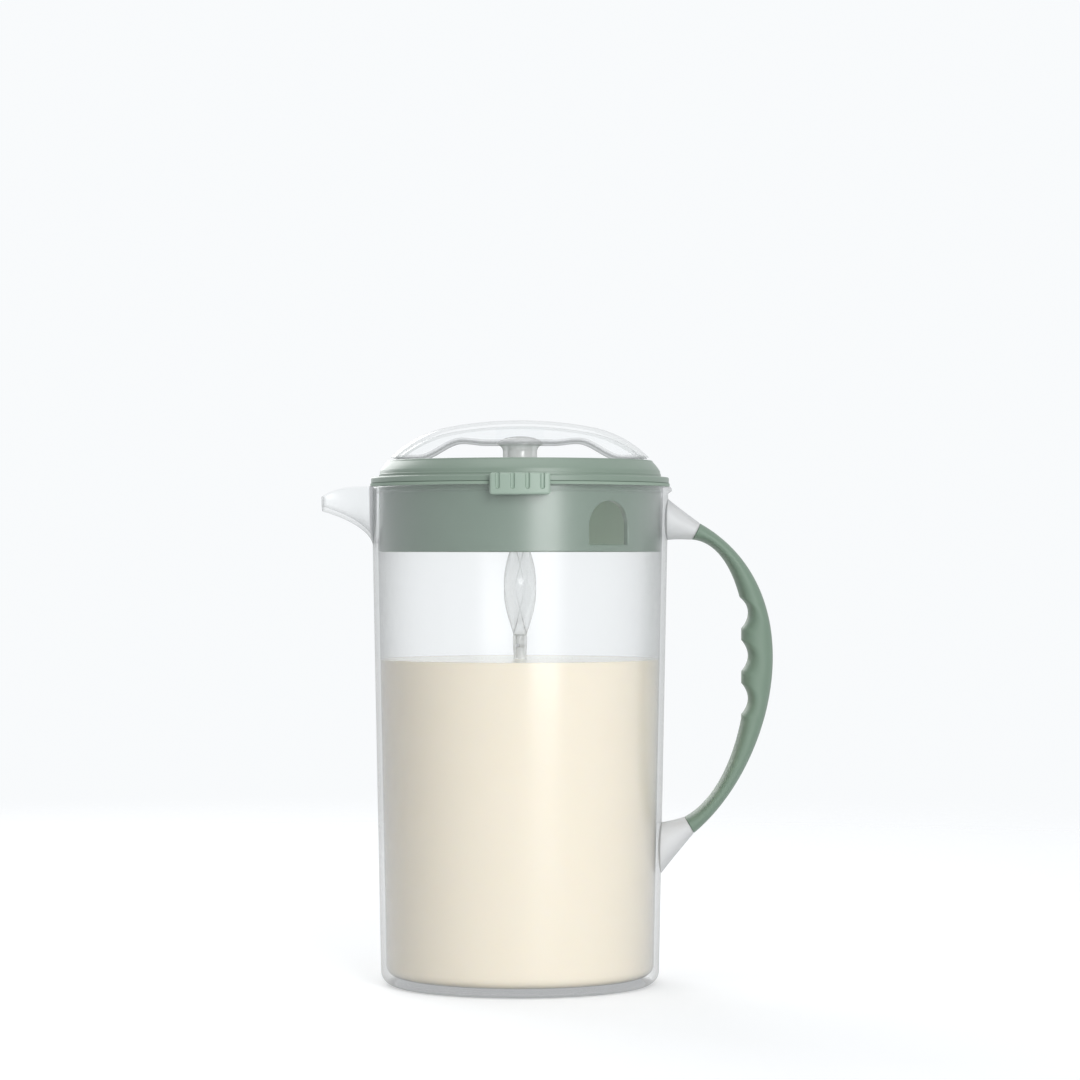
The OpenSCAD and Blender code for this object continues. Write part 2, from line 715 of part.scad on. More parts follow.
module plunger_handle() {
    wave_z = crown_z + plunger_up;
    hub_z = wave_z + wave_hub_h;
    top = dome_drop(crown_r) + 5;
    color(clear)
    difference() {
        union() {
            difference() {
                intersection() {
                    dome(crown_r, 0);
                    translate([0, bar_w / 2, wave_z])
                    rotate([90, 0, 0])
                    linear_extrude(bar_w)
                    polygon(concat(wave, [[crown_r + 2, top], [-crown_r - 2, top]],
                                   [for (i = [len(wave) - 1 : -1 : 1]) [-wave[i][0], wave[i][1]]]));
                }
                intersection() {
                    dome(crown_r - bar_wall, bar_wall);
                    translate([-crown_r, -bar_w / 2 + bar_wall, crown_z - 5])
                    cube([2 * crown_r, bar_w - 2 * bar_wall, top + 10]);
                }
            }
            intersection() {
                dome(crown_r - 1, 1);
                translate([-hub_r, -web_t / 2, hub_z]) cube([2 * hub_r, web_t, top]);
            }
            rotate_extrude()
            polygon(concat(
                [[0, post_z0], [post_r, post_z0]],
                [for (i = [0 : 5]) let (a = 90 * i / 5)
                    [hub_r - (hub_r - post_r) * cos(a), hub_z - 2.6 + 2.6 * sin(a)]],
                [for (i = [1 : 8]) let (a = 90 * i / 8) [hub_r * cos(a), hub_z + hub_dome_h * sin(a)]]));
        }
        translate([0, 0, post_z0 - 1]) cylinder(r = bush_r + seat_gap, h = head_z1 + free_gap - post_z0 + 1);
    }
}

// ---- blade and stopper ----

module mixing_blade() {
    inner_r = blade_r - blade_ring_t;
    mid_z = (blade_z0 + blade_z1) / 2;
    color(green)
    difference() {
        union() {
            translate([0, 0, blade_z0])
            difference() {
                cylinder(r = blade_r, h = blade_h);
                translate([0, 0, -1]) cylinder(r = inner_r, h = blade_h + 2);
            }
            translate([0, 0, blade_z0]) cylinder(r = blade_hub_r, h = blade_h + blade_hub_rise);
            for (i = [0 : vanes - 1])
                rotate([0, 0, 360 * i / vanes])
                intersection() {
                    translate([0, 0, blade_z0 + vane_inset])
                    difference() {
                        cylinder(r = blade_r - blade_ring_t / 2, h = blade_h - 2 * vane_inset);
                        translate([0, 0, -1]) cylinder(r = blade_hub_r - 1, h = blade_h + 2);
                    }
                    translate([0, 0, blade_z0])
                    linear_extrude(blade_h)
                    polygon([[0, 0], 2 * blade_r * [cos(vane_span / 2), -sin(vane_span / 2)],
                             2 * blade_r * [cos(vane_span / 2), sin(vane_span / 2)]]);
                    translate([0, 0, mid_z])
                    rotate([vane_tilt, 0, 0])
                    translate([0, -blade_r, -vane_t / 2])
                    cube([blade_r, 2 * blade_r, vane_t]);
                }
        }
        translate([0, 0, blade_z0 - 1]) cylinder(r = spigot_r + seat_gap, h = blade_h + blade_hub_rise + 2);
    }
}

module blade_cap() {
    color(green)
    translate([0, 0, cap_z0])
    difference() {
        rotate_extrude()
        polygon([[0, 0], [cap_r - 1, 0], [cap_r, 1], [cap_r, cap_h], [0, cap_h]]);
        translate([0, 0, 1 - seat_gap]) cylinder(r = spigot_r - 1 + seat_gap, h = cap_h);
    }
}

module stopper_clip() {
    ring_z0 = stopper_z0 + (stopper_h - finger_ring_t) / 2;
    color(green)
    difference() {
        union() {
            translate([0, 0, stopper_z0]) cylinder(r = stopper_r, h = stopper_h);
            for (side = [-1, 1])
                translate([side * finger_ring_x, finger_ring_y, ring_z0])
                cylinder(r = finger_ring_r, h = finger_ring_t);
        }
        for (side = [-1, 1])
            translate([side * finger_ring_x, finger_ring_y, ring_z0 - 1])
            cylinder(r = finger_hole_r, h = finger_ring_t + 2);
        translate([0, 0, stopper_z0 - 1]) cylinder(r = rod_d / 2 + free_gap, h = stopper_h + 2);
        translate([-stopper_slit / 2, 0, stopper_z0 - 1])
        cube([stopper_slit, finger_ring_y + finger_ring_r, stopper_h + 2]);
    }
}

jug_body();
handle_frame();
handle_grip();
lid_seal();
lid_shell();
thumb_tab();
shaft_guide();
plunger_handle();
swivel_bush();
upper_shaft();
lower_shaft();
bayonet_pin();
mixing_blade();
blade_cap();
stopper_clip();
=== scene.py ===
"""A baby formula mixing pitcher: clear jug, green lid and grip, clear plunger with a twisted shaft.

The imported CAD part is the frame. Sizes in this script are millimetres until a mesh is made, and
+X points to the side handle, -X to the spout, -Y to the viewer and +Z up.
"""

import math

import bmesh
import bpy
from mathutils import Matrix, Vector


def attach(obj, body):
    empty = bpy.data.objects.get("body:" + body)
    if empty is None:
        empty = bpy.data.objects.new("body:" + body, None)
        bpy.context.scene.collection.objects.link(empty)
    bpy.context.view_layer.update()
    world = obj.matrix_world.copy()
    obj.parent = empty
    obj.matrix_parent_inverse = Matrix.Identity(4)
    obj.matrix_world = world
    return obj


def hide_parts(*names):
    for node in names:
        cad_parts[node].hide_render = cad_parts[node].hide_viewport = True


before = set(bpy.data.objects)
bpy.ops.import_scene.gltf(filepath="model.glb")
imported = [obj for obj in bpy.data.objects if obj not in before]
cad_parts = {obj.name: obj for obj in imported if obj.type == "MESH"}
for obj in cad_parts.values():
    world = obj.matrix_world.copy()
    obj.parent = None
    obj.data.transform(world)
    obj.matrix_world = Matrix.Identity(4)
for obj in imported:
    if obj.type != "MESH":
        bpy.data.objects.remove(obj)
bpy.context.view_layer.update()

MM = 0.001

# ---- sizes, in millimetres ----

JUG_H = 186.0
JUG_TOP_R = 55.6
JUG_FOOT_R = 52.1
JUG_WALL = 2.0
JUG_FLOOR = 3.2
FOOT_ROUND = 5.0
FLOOR_ROUND = 4.0
BEAD_R = 56.9
BEAD_H = 2.2
BEAD_FILLET = 0.4
MOUTH_EASE = 0.5
WALL_ROWS = (30, 60, 90, 120, 140, 150, 156, 160, 162, 164, 167, 170, 174, 178, 181)

SPOUT_REACH = 74.1
SPOUT_ROOT_X = JUG_TOP_R - 0.6
SPOUT_ROOT_W = 30.0
SPOUT_TIP_W = 13.0
SPOUT_TIP_H = 5.3
SPOUT_DROP = 3.9
SPOUT_ROOT_H = 23.0
SPOUT_WALL = 1.8
SPOUT_INWARD = (3.0, 6.0)
SPOUT_STEPS = 40
SPOUT_SIDES = 48

GRIP_REACH = 94.39
GRIP_T = 11.4
FLAT_CUT = 2.1
GRIP_TOP = (67.5, 172.3)
GRIP_LOW = (65.1, 56.3)
GRIP_END_T = 6.8
GRIP_W = 17.0
GRIP_SKEW = 7.4
BACK_PULL = (24.9, 26.1)
FINGER_PULL = (7.8, 22.1)
GRIP_END_LEAN = ((0.46, 0.89), (0.50, 0.87))
HANDLE_SIDES = 48
GROOVE_DEPTH = 2.5
GROOVE_UP = 8.5
GROOVE_PITCH = 16.1
GROOVE_W = 11.4
ROOT_TOP = (181.1, 166.5)
ROOT_LOW = (59.9, 41.6)
ROOT_W = 19.0
ROOT_FILLET = 0.4
CORE_T = 4.0
CORE_W = 11.0

SKIRT_R = 52.73
SKIRT_Z = (161.6, 187.2)
LID_WALL = 2.2
FLANGE_R = 55.8
FLANGE_Z1 = 189.5
SHOULDER_R = 52.8
CROWN_R = 49.2
CROWN_BORE_R = 44.8
CROWN_Z = 195.8
CROWN_FOOT_H = 1.3
CROWN_EDGE = 0.6
DECK_Z = 187.5
DECK_T = 2.2
GUIDE_HOLE_R = 9.55
WINDOW_W = 18.0
WINDOW_H = 15.9
WINDOW_SILL_Z = 164.3
WINDOW_ANGLE = -51.5
WINDOW_EDGE = 0.6
TAB_W = 21.9
TAB_Z = (182.2, 190.1)
TAB_R = (57.3, 59.69)
TAB_FOOT = (53.1, 8.95, 188.2)
TAB_GROOVES = 4
TAB_PITCH = 5.4
TAB_GROOVE_W = 1.7
TAB_GROOVE_DEPTH = 0.9
TAB_EDGE = 0.8
TAB_CORNER = 1.1
TAB_FIT = 0.05

DOME_TOP_ARC = 146.0
DOME_TURN_R = 27.0
DOME_SIDE_ARC = 40.5
BAR_W = 30.0
BAR_WALL = 2.2
BAR_UP = 0.3
WAVE_HUB_H = 5.7
WAVE_CREST_H = 6.4
WAVE_DIP_X = 12.7
WAVE_CREST_X = 21.5
WAVE_FOOT_X = 38.3
BEADING = 0.95
BEADING_PROUD = 0.25
BEADING_SIDES = 20
POST_Z0 = 189.6
POST_R = 6.4
POST_NECK = 2.6
HUB_R = 8.9
HUB_DOME_H = 3.2
WEB_T = 3.0
BUSH_HOLE_R = 4.65
BUSH_HOLE_Z1 = 202.7

TWIST_PITCH = 72.0
RIBBON_Z = (130.5, 189.3)
RIBBON_W = 12.0
RIBBON_T = 5.2
CHANNEL_DEPTH = 0.85
CHANNEL_HALF = 1.9
RIB_SPREAD = 0.42
JOURNAL_R = 3.0
HEAD_R = 4.2
HEAD_Z = (200.1, 202.4)
PEG_R = 1.55
PEG_Z0 = 122.5
PIN_Z = 126.5
PIN_HOLE_R = 0.65
ROD_RIBS = (3.14, 2.69)
ROD_VALLEY = 2.3
BELL_Z = (14.4, 21.4)
BELL_R = 7.0
BELL_RIM = 1.0
SPIGOT_R = 3.0
SPIGOT_STEP = (2.0, 8.4)
SPIGOT_Z0 = 6.0
CHAMFER = 0.3
BLADE_R = 31.5
BLADE_RING_T = 2.0
BLADE_Z = (7.95, 12.95)
BLADE_HUB_R = 7.5
BLADE_HUB_Z1 = 14.35
VANES = 7
VANE_SPAN = 34.0
VANE_T = 1.4
VANE_LIFT = (1.35, 1.6)
STOPPER_Z = (52.95, 61.95)
STOPPER_R = (3.45, 5.2)
FINGER_RING_R = (2.6, 5.0)
FINGER_RING_T = 3.0
FINGER_RING_AT = (5.6, 5.4)
STOPPER_SLIT = 1.5

FORMULA_TOP = 121.6
FORMULA_GAP = 0.12
FORMULA_EDGE = 0.15


# ---- small helpers ----

def mix(a, b, t):
    return a + (b - a) * t


def ease(a, b, t):
    return a + (b - a) * (1 - math.cos(math.pi * t)) / 2


def arc(centre, radius, start, end, steps):
    """Points of an arc in a profile, from angle start to angle end in degrees."""
    angles = [math.radians(mix(start, end, i / steps)) for i in range(steps + 1)]
    return [(centre[0] + radius * math.cos(a), centre[1] + radius * math.sin(a)) for a in angles]


def rounded_box(x0, x1, z0, z1, radius, steps=6):
    """Closed outline of a rectangle with rounded corners."""
    return (arc((x1 - radius, z0 + radius), radius, -90, 0, steps)
            + arc((x1 - radius, z1 - radius), radius, 0, 90, steps)
            + arc((x0 + radius, z1 - radius), radius, 90, 180, steps)
            + arc((x0 + radius, z0 + radius), radius, 180, 270, steps))


def bezier(points, t):
    weights = ((1 - t) ** 3, 3 * (1 - t) ** 2 * t, 3 * (1 - t) * t * t, t ** 3)
    return tuple(sum(w * p[axis] for w, p in zip(weights, points)) for axis in (0, 1))


def jug_r(z):
    """Outer radius of the jug's tapered wall at height z."""
    return JUG_FOOT_R + (JUG_TOP_R - JUG_FOOT_R) * (z - FOOT_ROUND) / (JUG_H - FOOT_ROUND)


def cavity_r(z):
    """Inner radius of the jug's tapered wall at height z."""
    low = JUG_FLOOR + FLOOR_ROUND
    return mix(jug_r(JUG_FLOOR) - JUG_WALL, JUG_TOP_R - JUG_WALL, (z - low) / (JUG_H - low))


def mesh_from(name, points, faces):
    """A mesh from points in millimetres, with its faces turned outwards."""
    mesh = bpy.data.meshes.new(name)
    mesh.from_pydata([[c * MM for c in p] for p in points], [], faces)
    build = bmesh.new()
    build.from_mesh(mesh)
    bmesh.ops.remove_doubles(build, verts=build.verts, dist=1e-7)
    bmesh.ops.recalc_face_normals(build, faces=build.faces)
    build.to_mesh(mesh)
    build.free()
    return mesh


def loft(rings, cyclic=False):
    """Points and faces of a closed skin through rings that have equally many points."""
    size = len(rings[0])
    points = [p for ring in rings for p in ring]
    last = len(rings) if cyclic else len(rings) - 1
    faces = []
    for k in range(last):
        a, b = k * size, (k + 1) % len(rings) * size
        faces += [(a + i, a + (i + 1) % size, b + (i + 1) % size, b + i) for i in range(size)]
    if not cyclic:
        faces.append(tuple(reversed(range(size))))
        faces.append(tuple(range(len(points) - size, len(points))))
    return points, faces


def lathe(profile, steps=192, closed=False, at=(0, 0)):
    """Points and faces of a profile of (radius, height) turned round a vertical axis."""
    points, faces, rows = [], [], []
    for r, z in profile:
        if r < 1e-6:
            rows.append([len(points)])
            points.append((at[0], at[1], z))
            continue
        rows.append(list(range(len(points), len(points) + steps)))
        for i in range(steps):
            a = 2 * math.pi * i / steps
            points.append((at[0] + r * math.cos(a), at[1] + r * math.sin(a), z))
    pairs = list(zip(rows, rows[1:])) + ([(rows[-1], rows[0])] if closed else [])
    for low, high in pairs:
        if len(low) == 1 and len(high) == 1:
            continue
        for i in range(steps):
            j = (i + 1) % steps
            if len(low) == 1:
                faces.append((low[0], high[j], high[i]))
            elif len(high) == 1:
                faces.append((low[i], low[j], high[0]))
            else:
                faces.append((low[i], low[j], high[j], high[i]))
    return points, faces


def column(radius, z0, z1, steps=64, at=(0, 0)):
    return lathe([(0, z0), (radius, z0), (radius, z1), (0, z1)], steps, at=at)


def block(low, high):
    (x0, y0, z0), (x1, y1, z1) = low, high
    return loft([[(x0, y0, z), (x1, y0, z), (x1, y1, z), (x0, y1, z)] for z in (z0, z1)])


def scratch_object(points, faces):
    obj = bpy.data.objects.new("scratch", mesh_from("scratch", points, faces))
    bpy.context.scene.collection.objects.link(obj)
    return obj


def combine(base, steps):
    """The mesh of base after boolean steps of (operation, (points, faces))."""
    obj = scratch_object(*base)
    tools = []
    for operation, shape in steps:
        tool = scratch_object(*shape)
        tools.append(tool)
        step = obj.modifiers.new("step", "BOOLEAN")
        step.operation = operation
        step.solver = "EXACT"
        step.object = tool
    graph = bpy.context.evaluated_depsgraph_get()
    mesh = bpy.data.meshes.new_from_object(obj.evaluated_get(graph))
    for used in [obj] + tools:
        old = used.data
        bpy.data.objects.remove(used)
        bpy.data.meshes.remove(old)
    return mesh


def as_shape(mesh):
    """Points in millimetres and faces of a finished mesh."""
    points = [tuple(c / MM for c in v.co) for v in mesh.vertices]
    faces = [tuple(f.vertices) for f in mesh.polygons]
    bpy.data.meshes.remove(mesh)
    return points, faces


def piece(name, mesh, material, body, replaces=(), sharp=35):
    """A piece of the pitcher that rides on a body, smooth but for edges sharper than an angle."""
    mesh.name = name
    for face in mesh.polygons:
        face.use_smooth = True
    mesh.set_sharp_from_angle(angle=math.radians(sharp))
    mesh.materials.clear()
    mesh.materials.append(material)
    obj = bpy.data.objects.new(name, mesh)
    bpy.context.scene.collection.objects.link(obj)
    weights = obj.modifiers.new("even_shading", "WEIGHTED_NORMAL")
    weights.keep_sharp = True
    weights.weight = 80
    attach(obj, body)
    if replaces:
        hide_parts(*replaces)
    return obj


# ---- materials ----

def material_tree(name):
    material = bpy.data.materials.new(name)
    material.use_nodes = True
    material.node_tree.nodes.clear()
    return material, material.node_tree


def add(tree, kind, settings=None, **sockets):
    """A node with its settings and its sockets' values; a socket given as an output is linked."""
    node = tree.nodes.new(kind)
    for key, value in (settings or {}).items():
        setattr(node, key, value)
    for key, value in sockets.items():
        socket = node.inputs[int(key[1:])] if key[1:].isdigit() else node.inputs[key.replace("_", " ")]
        if isinstance(value, bpy.types.NodeSocket):
            tree.links.new(value, socket)
        else:
            socket.default_value = value
    return node


def math_node(tree, operation, a, b=0.0):
    return add(tree, "ShaderNodeMath", {"operation": operation}, s0=a, s1=b).outputs[0]


def noise(tree, coords, scale, detail=2.0):
    return add(tree, "ShaderNodeTexNoise", None, Vector=coords, Scale=scale, Detail=detail).outputs[0]


def spread(tree, value, low, high):
    """Maps a value from 0 to 1 onto the range from low to high."""
    return add(tree, "ShaderNodeMapRange", None, Value=value, To_Min=low, To_Max=high).outputs[0]


def step_up(tree, value, start, end, high=1.0):
    """Rises softly from 0 at start to high at end; start may lie above end."""
    return add(tree, "ShaderNodeMapRange", {"interpolation_type": "SMOOTHSTEP"}, Value=value,
               From_Min=start, From_Max=end, To_Min=0.0, To_Max=high).outputs[0]


def varied(tree, value, low_colour, high_colour):
    """A colour that goes from one to another as a value goes from 0 to 1."""
    node = add(tree, "ShaderNodeMix", {"data_type": "RGBA"}, s0=value)
    node.inputs[6].default_value = (*low_colour, 1)
    node.inputs[7].default_value = (*high_colour, 1)
    return node.outputs[2]


def finish_tree(tree, shader):
    add(tree, "ShaderNodeOutputMaterial", None, Surface=shader)


def jug_painted_shade(tree, coords):
    """Painted shade: a darker haze at the jug's foot, the spout's tip and the wall's edge at the spout, where thick
    clear plastic looks dark from the light it bends.
    """
    axes = add(tree, "ShaderNodeSeparateXYZ", None, s0=coords).outputs
    foot = step_up(tree, axes[2], 0.0018, 0.0003, 0.45)
    tip = step_up(tree, axes[0], -0.0726, -SPOUT_REACH * MM, 0.28)
    strip = step_up(tree, axes[0], -0.0562, -0.0556, 0.55)
    for axis, start, end in ((0, -0.0540, -0.0546), (2, 0.157, 0.165)):
        strip = math_node(tree, "MULTIPLY", strip, step_up(tree, axes[axis], start, end))
    return math_node(tree, "MAXIMUM", foot, math_node(tree, "MAXIMUM", tip, strip))


def clear_plastic(name, haze, edge_haze, colour, edge_colour, gloss=0.16, mirror=(0.02, 0.35), painted_shade=None):
    """See-through plastic: haze is how milky it is face-on and edge_haze at a grazing view; an optional mask adds
    painted shade to the haze.
    """
    material, tree = material_tree(name)
    coords = add(tree, "ShaderNodeTexCoord").outputs["Object"]
    facing = add(tree, "ShaderNodeLayerWeight", None, Blend=0.5).outputs["Facing"]
    streaks = spread(tree, noise(tree, coords, 35.0, 3.0), 0.86, 1.14)
    grazing = math_node(tree, "POWER", facing, 2.4)
    haze_and_painted_shade = math_node(tree, "MULTIPLY", spread(tree, grazing, haze, edge_haze), streaks)
    # An optional mask paints shade into the haze.
    if painted_shade:
        haze_and_painted_shade = math_node(tree, "MAXIMUM", haze_and_painted_shade, painted_shade(tree, coords))
    shine_share = spread(tree, math_node(tree, "POWER", facing, 4.0), *mirror)
    see = add(tree, "ShaderNodeBsdfTransparent", None, Color=(0.992, 0.995, 0.996, 1)).outputs[0]
    body = add(tree, "ShaderNodeBsdfPrincipled", None, Base_Color=varied(tree, grazing, colour, edge_colour),
               Roughness=0.6, Specular_IOR_Level=0.0).outputs[0]
    fine = noise(tree, coords, 400.0, 2.0)
    bump = add(tree, "ShaderNodeBump", None, Strength=0.015, Distance=0.0001, Height=fine).outputs[0]
    shine = add(tree, "ShaderNodeBsdfGlossy", None, Color=(1, 1, 1, 1), Roughness=gloss,
                Normal=bump).outputs[0]
    wall = add(tree, "ShaderNodeMixShader", None, Fac=haze_and_painted_shade, s1=see, s2=body).outputs[0]
    finish_tree(tree, add(tree, "ShaderNodeMixShader", None, Fac=shine_share, s1=wall, s2=shine).outputs[0])
    return material


def satin_plastic(name, colour, roughness, grain, grain_depth, gloss=0.5):
    """Opaque moulded plastic with a fine grain and a slight drift in colour and gloss."""
    material, tree = material_tree(name)
    coords = add(tree, "ShaderNodeTexCoord").outputs["Object"]
    drift = noise(tree, coords, 22.0, 3.0)
    base = varied(tree, drift, [c * 0.98 for c in colour], [min(c * 1.02, 1) for c in colour])
    rough = spread(tree, noise(tree, coords, 60.0, 3.0), roughness - 0.02, roughness + 0.02)
    bump = add(tree, "ShaderNodeBump", None, Strength=0.35, Distance=grain_depth,
               Height=noise(tree, coords, grain, 3.0)).outputs[0]
    shader = add(tree, "ShaderNodeBsdfPrincipled", None, Base_Color=base, Roughness=rough, Normal=bump,
                 IOR=1.49, Specular_IOR_Level=gloss)
    finish_tree(tree, shader.outputs[0])
    return material


def formula_milk():
    """Milky formula with a faint drift in its colour."""
    material, tree = material_tree("formula")
    coords = add(tree, "ShaderNodeTexCoord").outputs["Object"]
    drift = noise(tree, coords, 30.0, 4.0)
    base = varied(tree, drift, (0.950, 0.858, 0.708), (0.970, 0.882, 0.742))
    shader = add(tree, "ShaderNodeBsdfPrincipled", None, Base_Color=base, Roughness=0.12,
                 Specular_IOR_Level=0.35, Subsurface_Weight=0.15, Subsurface_Radius=(1.0, 0.8, 0.5),
                 Subsurface_Scale=0.003)
    finish_tree(tree, shader.outputs[0])
    return material


def brushed_steel():
    material, tree = material_tree("pin_steel")
    coords = add(tree, "ShaderNodeTexCoord").outputs["Object"]
    rough = spread(tree, noise(tree, coords, 2500.0, 2.0), 0.22, 0.38)
    shader = add(tree, "ShaderNodeBsdfPrincipled", None, Base_Color=(0.62, 0.62, 0.64, 1), Metallic=1.0,
                 Roughness=rough)
    finish_tree(tree, shader.outputs[0])
    return material


def grey(level, cool=0.01):
    """A grey that is a little bluer than neutral by cool."""
    return (level - cool, level, level + cool)


# The jug's clear plastic has painted shade at its foot, the spout's tip and the wall's edge at the spout.
JUG_CLEAR = clear_plastic("jug_clear", 0.015, 0.50, grey(0.45), grey(0.40), gloss=0.26, painted_shade=jug_painted_shade)
ROOT_CLEAR = clear_plastic("root_clear", 0.62, 0.80, grey(0.74), grey(0.60), gloss=0.35, mirror=(0.02, 0.2))
PLUNGER_CLEAR = clear_plastic("plunger_clear", 0.006, 0.22, grey(0.45), grey(0.40))
BEADING_CLEAR = clear_plastic("beading_clear", 0.36, 0.80, grey(0.42), grey(0.24), gloss=0.2)
HUB_FROST = clear_plastic("hub_frost", 0.45, 0.82, grey(0.96, 0.0), grey(0.36, 0.0), gloss=0.12,
                          mirror=(0.045, 0.25))
SHAFT_CLEAR = clear_plastic("shaft_clear", 0.17, 0.70, grey(0.62, 0.005), grey(0.42, 0.005), gloss=0.2,
                            mirror=(0.03, 0.3))
ROD_CLEAR = clear_plastic("rod_clear", 0.30, 0.70, grey(0.90, 0.005), grey(0.46, 0.005), gloss=0.2,
                          mirror=(0.03, 0.3))
LID_GREEN = satin_plastic("lid_green", (0.190, 0.258, 0.208), 0.40, 1400.0, 0.00002, 0.9)
# Painted light: a lighter copy of the lid's green for its inner faces, standing in for light that shines through
# the thin lid.
LID_INSIDE_PAINTED_LIGHT = satin_plastic("lid_inside_painted_light", (0.480, 0.595, 0.505), 0.45, 1400.0, 0.00002)
# Painted light: the lid's green made lighter for the tab, whose front faces the lamps straight on.
TAB_GREEN_PAINTED_LIGHT = satin_plastic("tab_green_painted_light", (0.318, 0.412, 0.345), 0.38, 1400.0, 0.00002)
BLADE_GREEN = satin_plastic("blade_green", (0.205, 0.275, 0.222), 0.34, 1400.0, 0.00002)
GRIP_GREEN = satin_plastic("grip_green", (0.175, 0.250, 0.192), 0.52, 2200.0, 0.00004)
SEAL_SILICONE = satin_plastic("seal_silicone", (0.270, 0.355, 0.290), 0.6, 1200.0, 0.00002)
FORMULA = formula_milk()
PIN_STEEL = brushed_steel()


# ---- jug ----

def jug_outline():
    return ([(0, 0)]
            + arc((JUG_FOOT_R - FOOT_ROUND, FOOT_ROUND), FOOT_ROUND, -90, 0, 14)
            + [(jug_r(z), z) for z in WALL_ROWS + (JUG_H - BEAD_H - BEAD_FILLET,)]
            + arc((BEAD_R - BEAD_H / 2, JUG_H - BEAD_H / 2), BEAD_H / 2, -75, 90, 12)
            + [(0, JUG_H)])


def cavity_outline():
    floor_r = jug_r(JUG_FLOOR) - JUG_WALL
    mouth_r = JUG_TOP_R - JUG_WALL + MOUTH_EASE
    return ([(0, JUG_FLOOR)]
            + arc((floor_r - FLOOR_ROUND, JUG_FLOOR + FLOOR_ROUND), FLOOR_ROUND, -90, 0, 10)
            + [(cavity_r(z), z) for z in WALL_ROWS + (JUG_H - MOUTH_EASE,)]
            + [(mouth_r, JUG_H), (mouth_r, JUG_H + 1), (0, JUG_H + 1)])


def spout_x(u):
    """Where the spout is at u, from 0 at its root to 1 at its tip."""
    return -mix(SPOUT_ROOT_X, SPOUT_REACH, u * u)


def spout_half(u):
    return mix(SPOUT_ROOT_W, SPOUT_TIP_W, 1 - (1 - u * u) ** 1.3) / 2


def spout_top(u):
    return JUG_H - SPOUT_DROP * u ** 7


def spout_low(u):
    tip_z = JUG_H - SPOUT_DROP - SPOUT_TIP_H
    return mix(tip_z, JUG_H - SPOUT_ROOT_H, (1 - u) ** 1.1)


def spout_ring(x, u, wall, top):
    """U-shaped section at x, closed straight across at height top."""
    depth = spout_top(u) - spout_low(u) - wall
    half = spout_half(u) - wall
    ring = []
    for i in range(SPOUT_SIDES + 1):
        a = math.pi * i / SPOUT_SIDES
        ring.append((x, half * math.cos(a), spout_top(u) - depth * math.sin(a)))
    return ring + [(x, -half, top), (x, half, top)]


def spout_outside():
    """The spout filled up, a hair higher than its rim."""
    inner_x = -(JUG_TOP_R - JUG_WALL - SPOUT_INWARD[0])
    rings = [spout_ring(inner_x, 0, 0, spout_top(0) + 0.01)]
    for k in range(SPOUT_STEPS + 1):
        u = k / SPOUT_STEPS
        rings.append(spout_ring(spout_x(u), u, 0, spout_top(u) + 0.01))
    return loft(rings)


def spout_channel():
    """Cutter for the spout's open channel, through the jug's wall and out past the tip."""
    inner_x = -(JUG_TOP_R - JUG_WALL - SPOUT_INWARD[1])
    over = JUG_H + 5
    rings = [spout_ring(inner_x, 0, SPOUT_WALL, over)]
    for k in range(SPOUT_STEPS + 1):
        u = k / SPOUT_STEPS
        rings.append(spout_ring(spout_x(u), u, SPOUT_WALL, over))
    rings.append(spout_ring(-SPOUT_REACH - 2, 1, SPOUT_WALL, over))
    return loft(rings)


def make_jug():
    mesh = combine(lathe(jug_outline()), [
        ("UNION", spout_outside()),
        ("DIFFERENCE", lathe(cavity_outline())),
        ("DIFFERENCE", spout_channel()),
    ])
    piece("jug", mesh, JUG_CLEAR, "jug", ["jug_body"], sharp=40)


# ---- side handle ----

finger_reach = GRIP_REACH - GRIP_T
groove_z = (GRIP_TOP[1] + GRIP_LOW[1]) / 2 + GROOVE_UP
grip_mid = (4 * GRIP_REACH - (GRIP_TOP[0] + GRIP_LOW[0]) / 2) / 3
BACK_CURVE = [
    GRIP_TOP,
    (grip_mid + GRIP_SKEW, GRIP_TOP[1] - BACK_PULL[0]),
    (grip_mid - GRIP_SKEW, GRIP_LOW[1] + BACK_PULL[1]),
    GRIP_LOW,
]
top_lean, low_lean = GRIP_END_LEAN
finger_top = (GRIP_TOP[0] - top_lean[0] * GRIP_END_T, GRIP_TOP[1] - top_lean[1] * GRIP_END_T)
finger_low = (GRIP_LOW[0] - low_lean[0] * GRIP_END_T, GRIP_LOW[1] + low_lean[1] * GRIP_END_T)
finger_mid = (8 * (finger_reach + FLAT_CUT) - finger_top[0] - finger_low[0]) / 6
FINGER_CURVE = [
    finger_top,
    (finger_mid, GRIP_TOP[1] - FINGER_PULL[0]),
    (finger_mid, GRIP_LOW[1] + FINGER_PULL[1]),
    finger_low,
]


def groove(z):
    """How deep the finger grooves are at height z."""
    d = min(abs(z - groove_z - k * GROOVE_PITCH) for k in (-1, 0, 1))
    return GROOVE_DEPTH * math.cos(math.pi * d / GROOVE_W) ** 0.8 if d < GROOVE_W / 2 else 0.0


def back_point(u):
    """The grip's back in the side view, from its top at 0 to its lower end at 1."""
    return bezier(BACK_CURVE, u)


def finger_flat(u):
    """The grip's finger side in the side view, without its grooves."""
    x, z = bezier(FINGER_CURVE, u)
    return min(x, finger_reach), z


def finger_point(u):
    x, z = finger_flat(u)
    return x + groove(z), z


def soft(value):
    """A power that keeps the sign, for rounded-square sections."""
    return math.copysign(abs(value) ** 0.85, value)


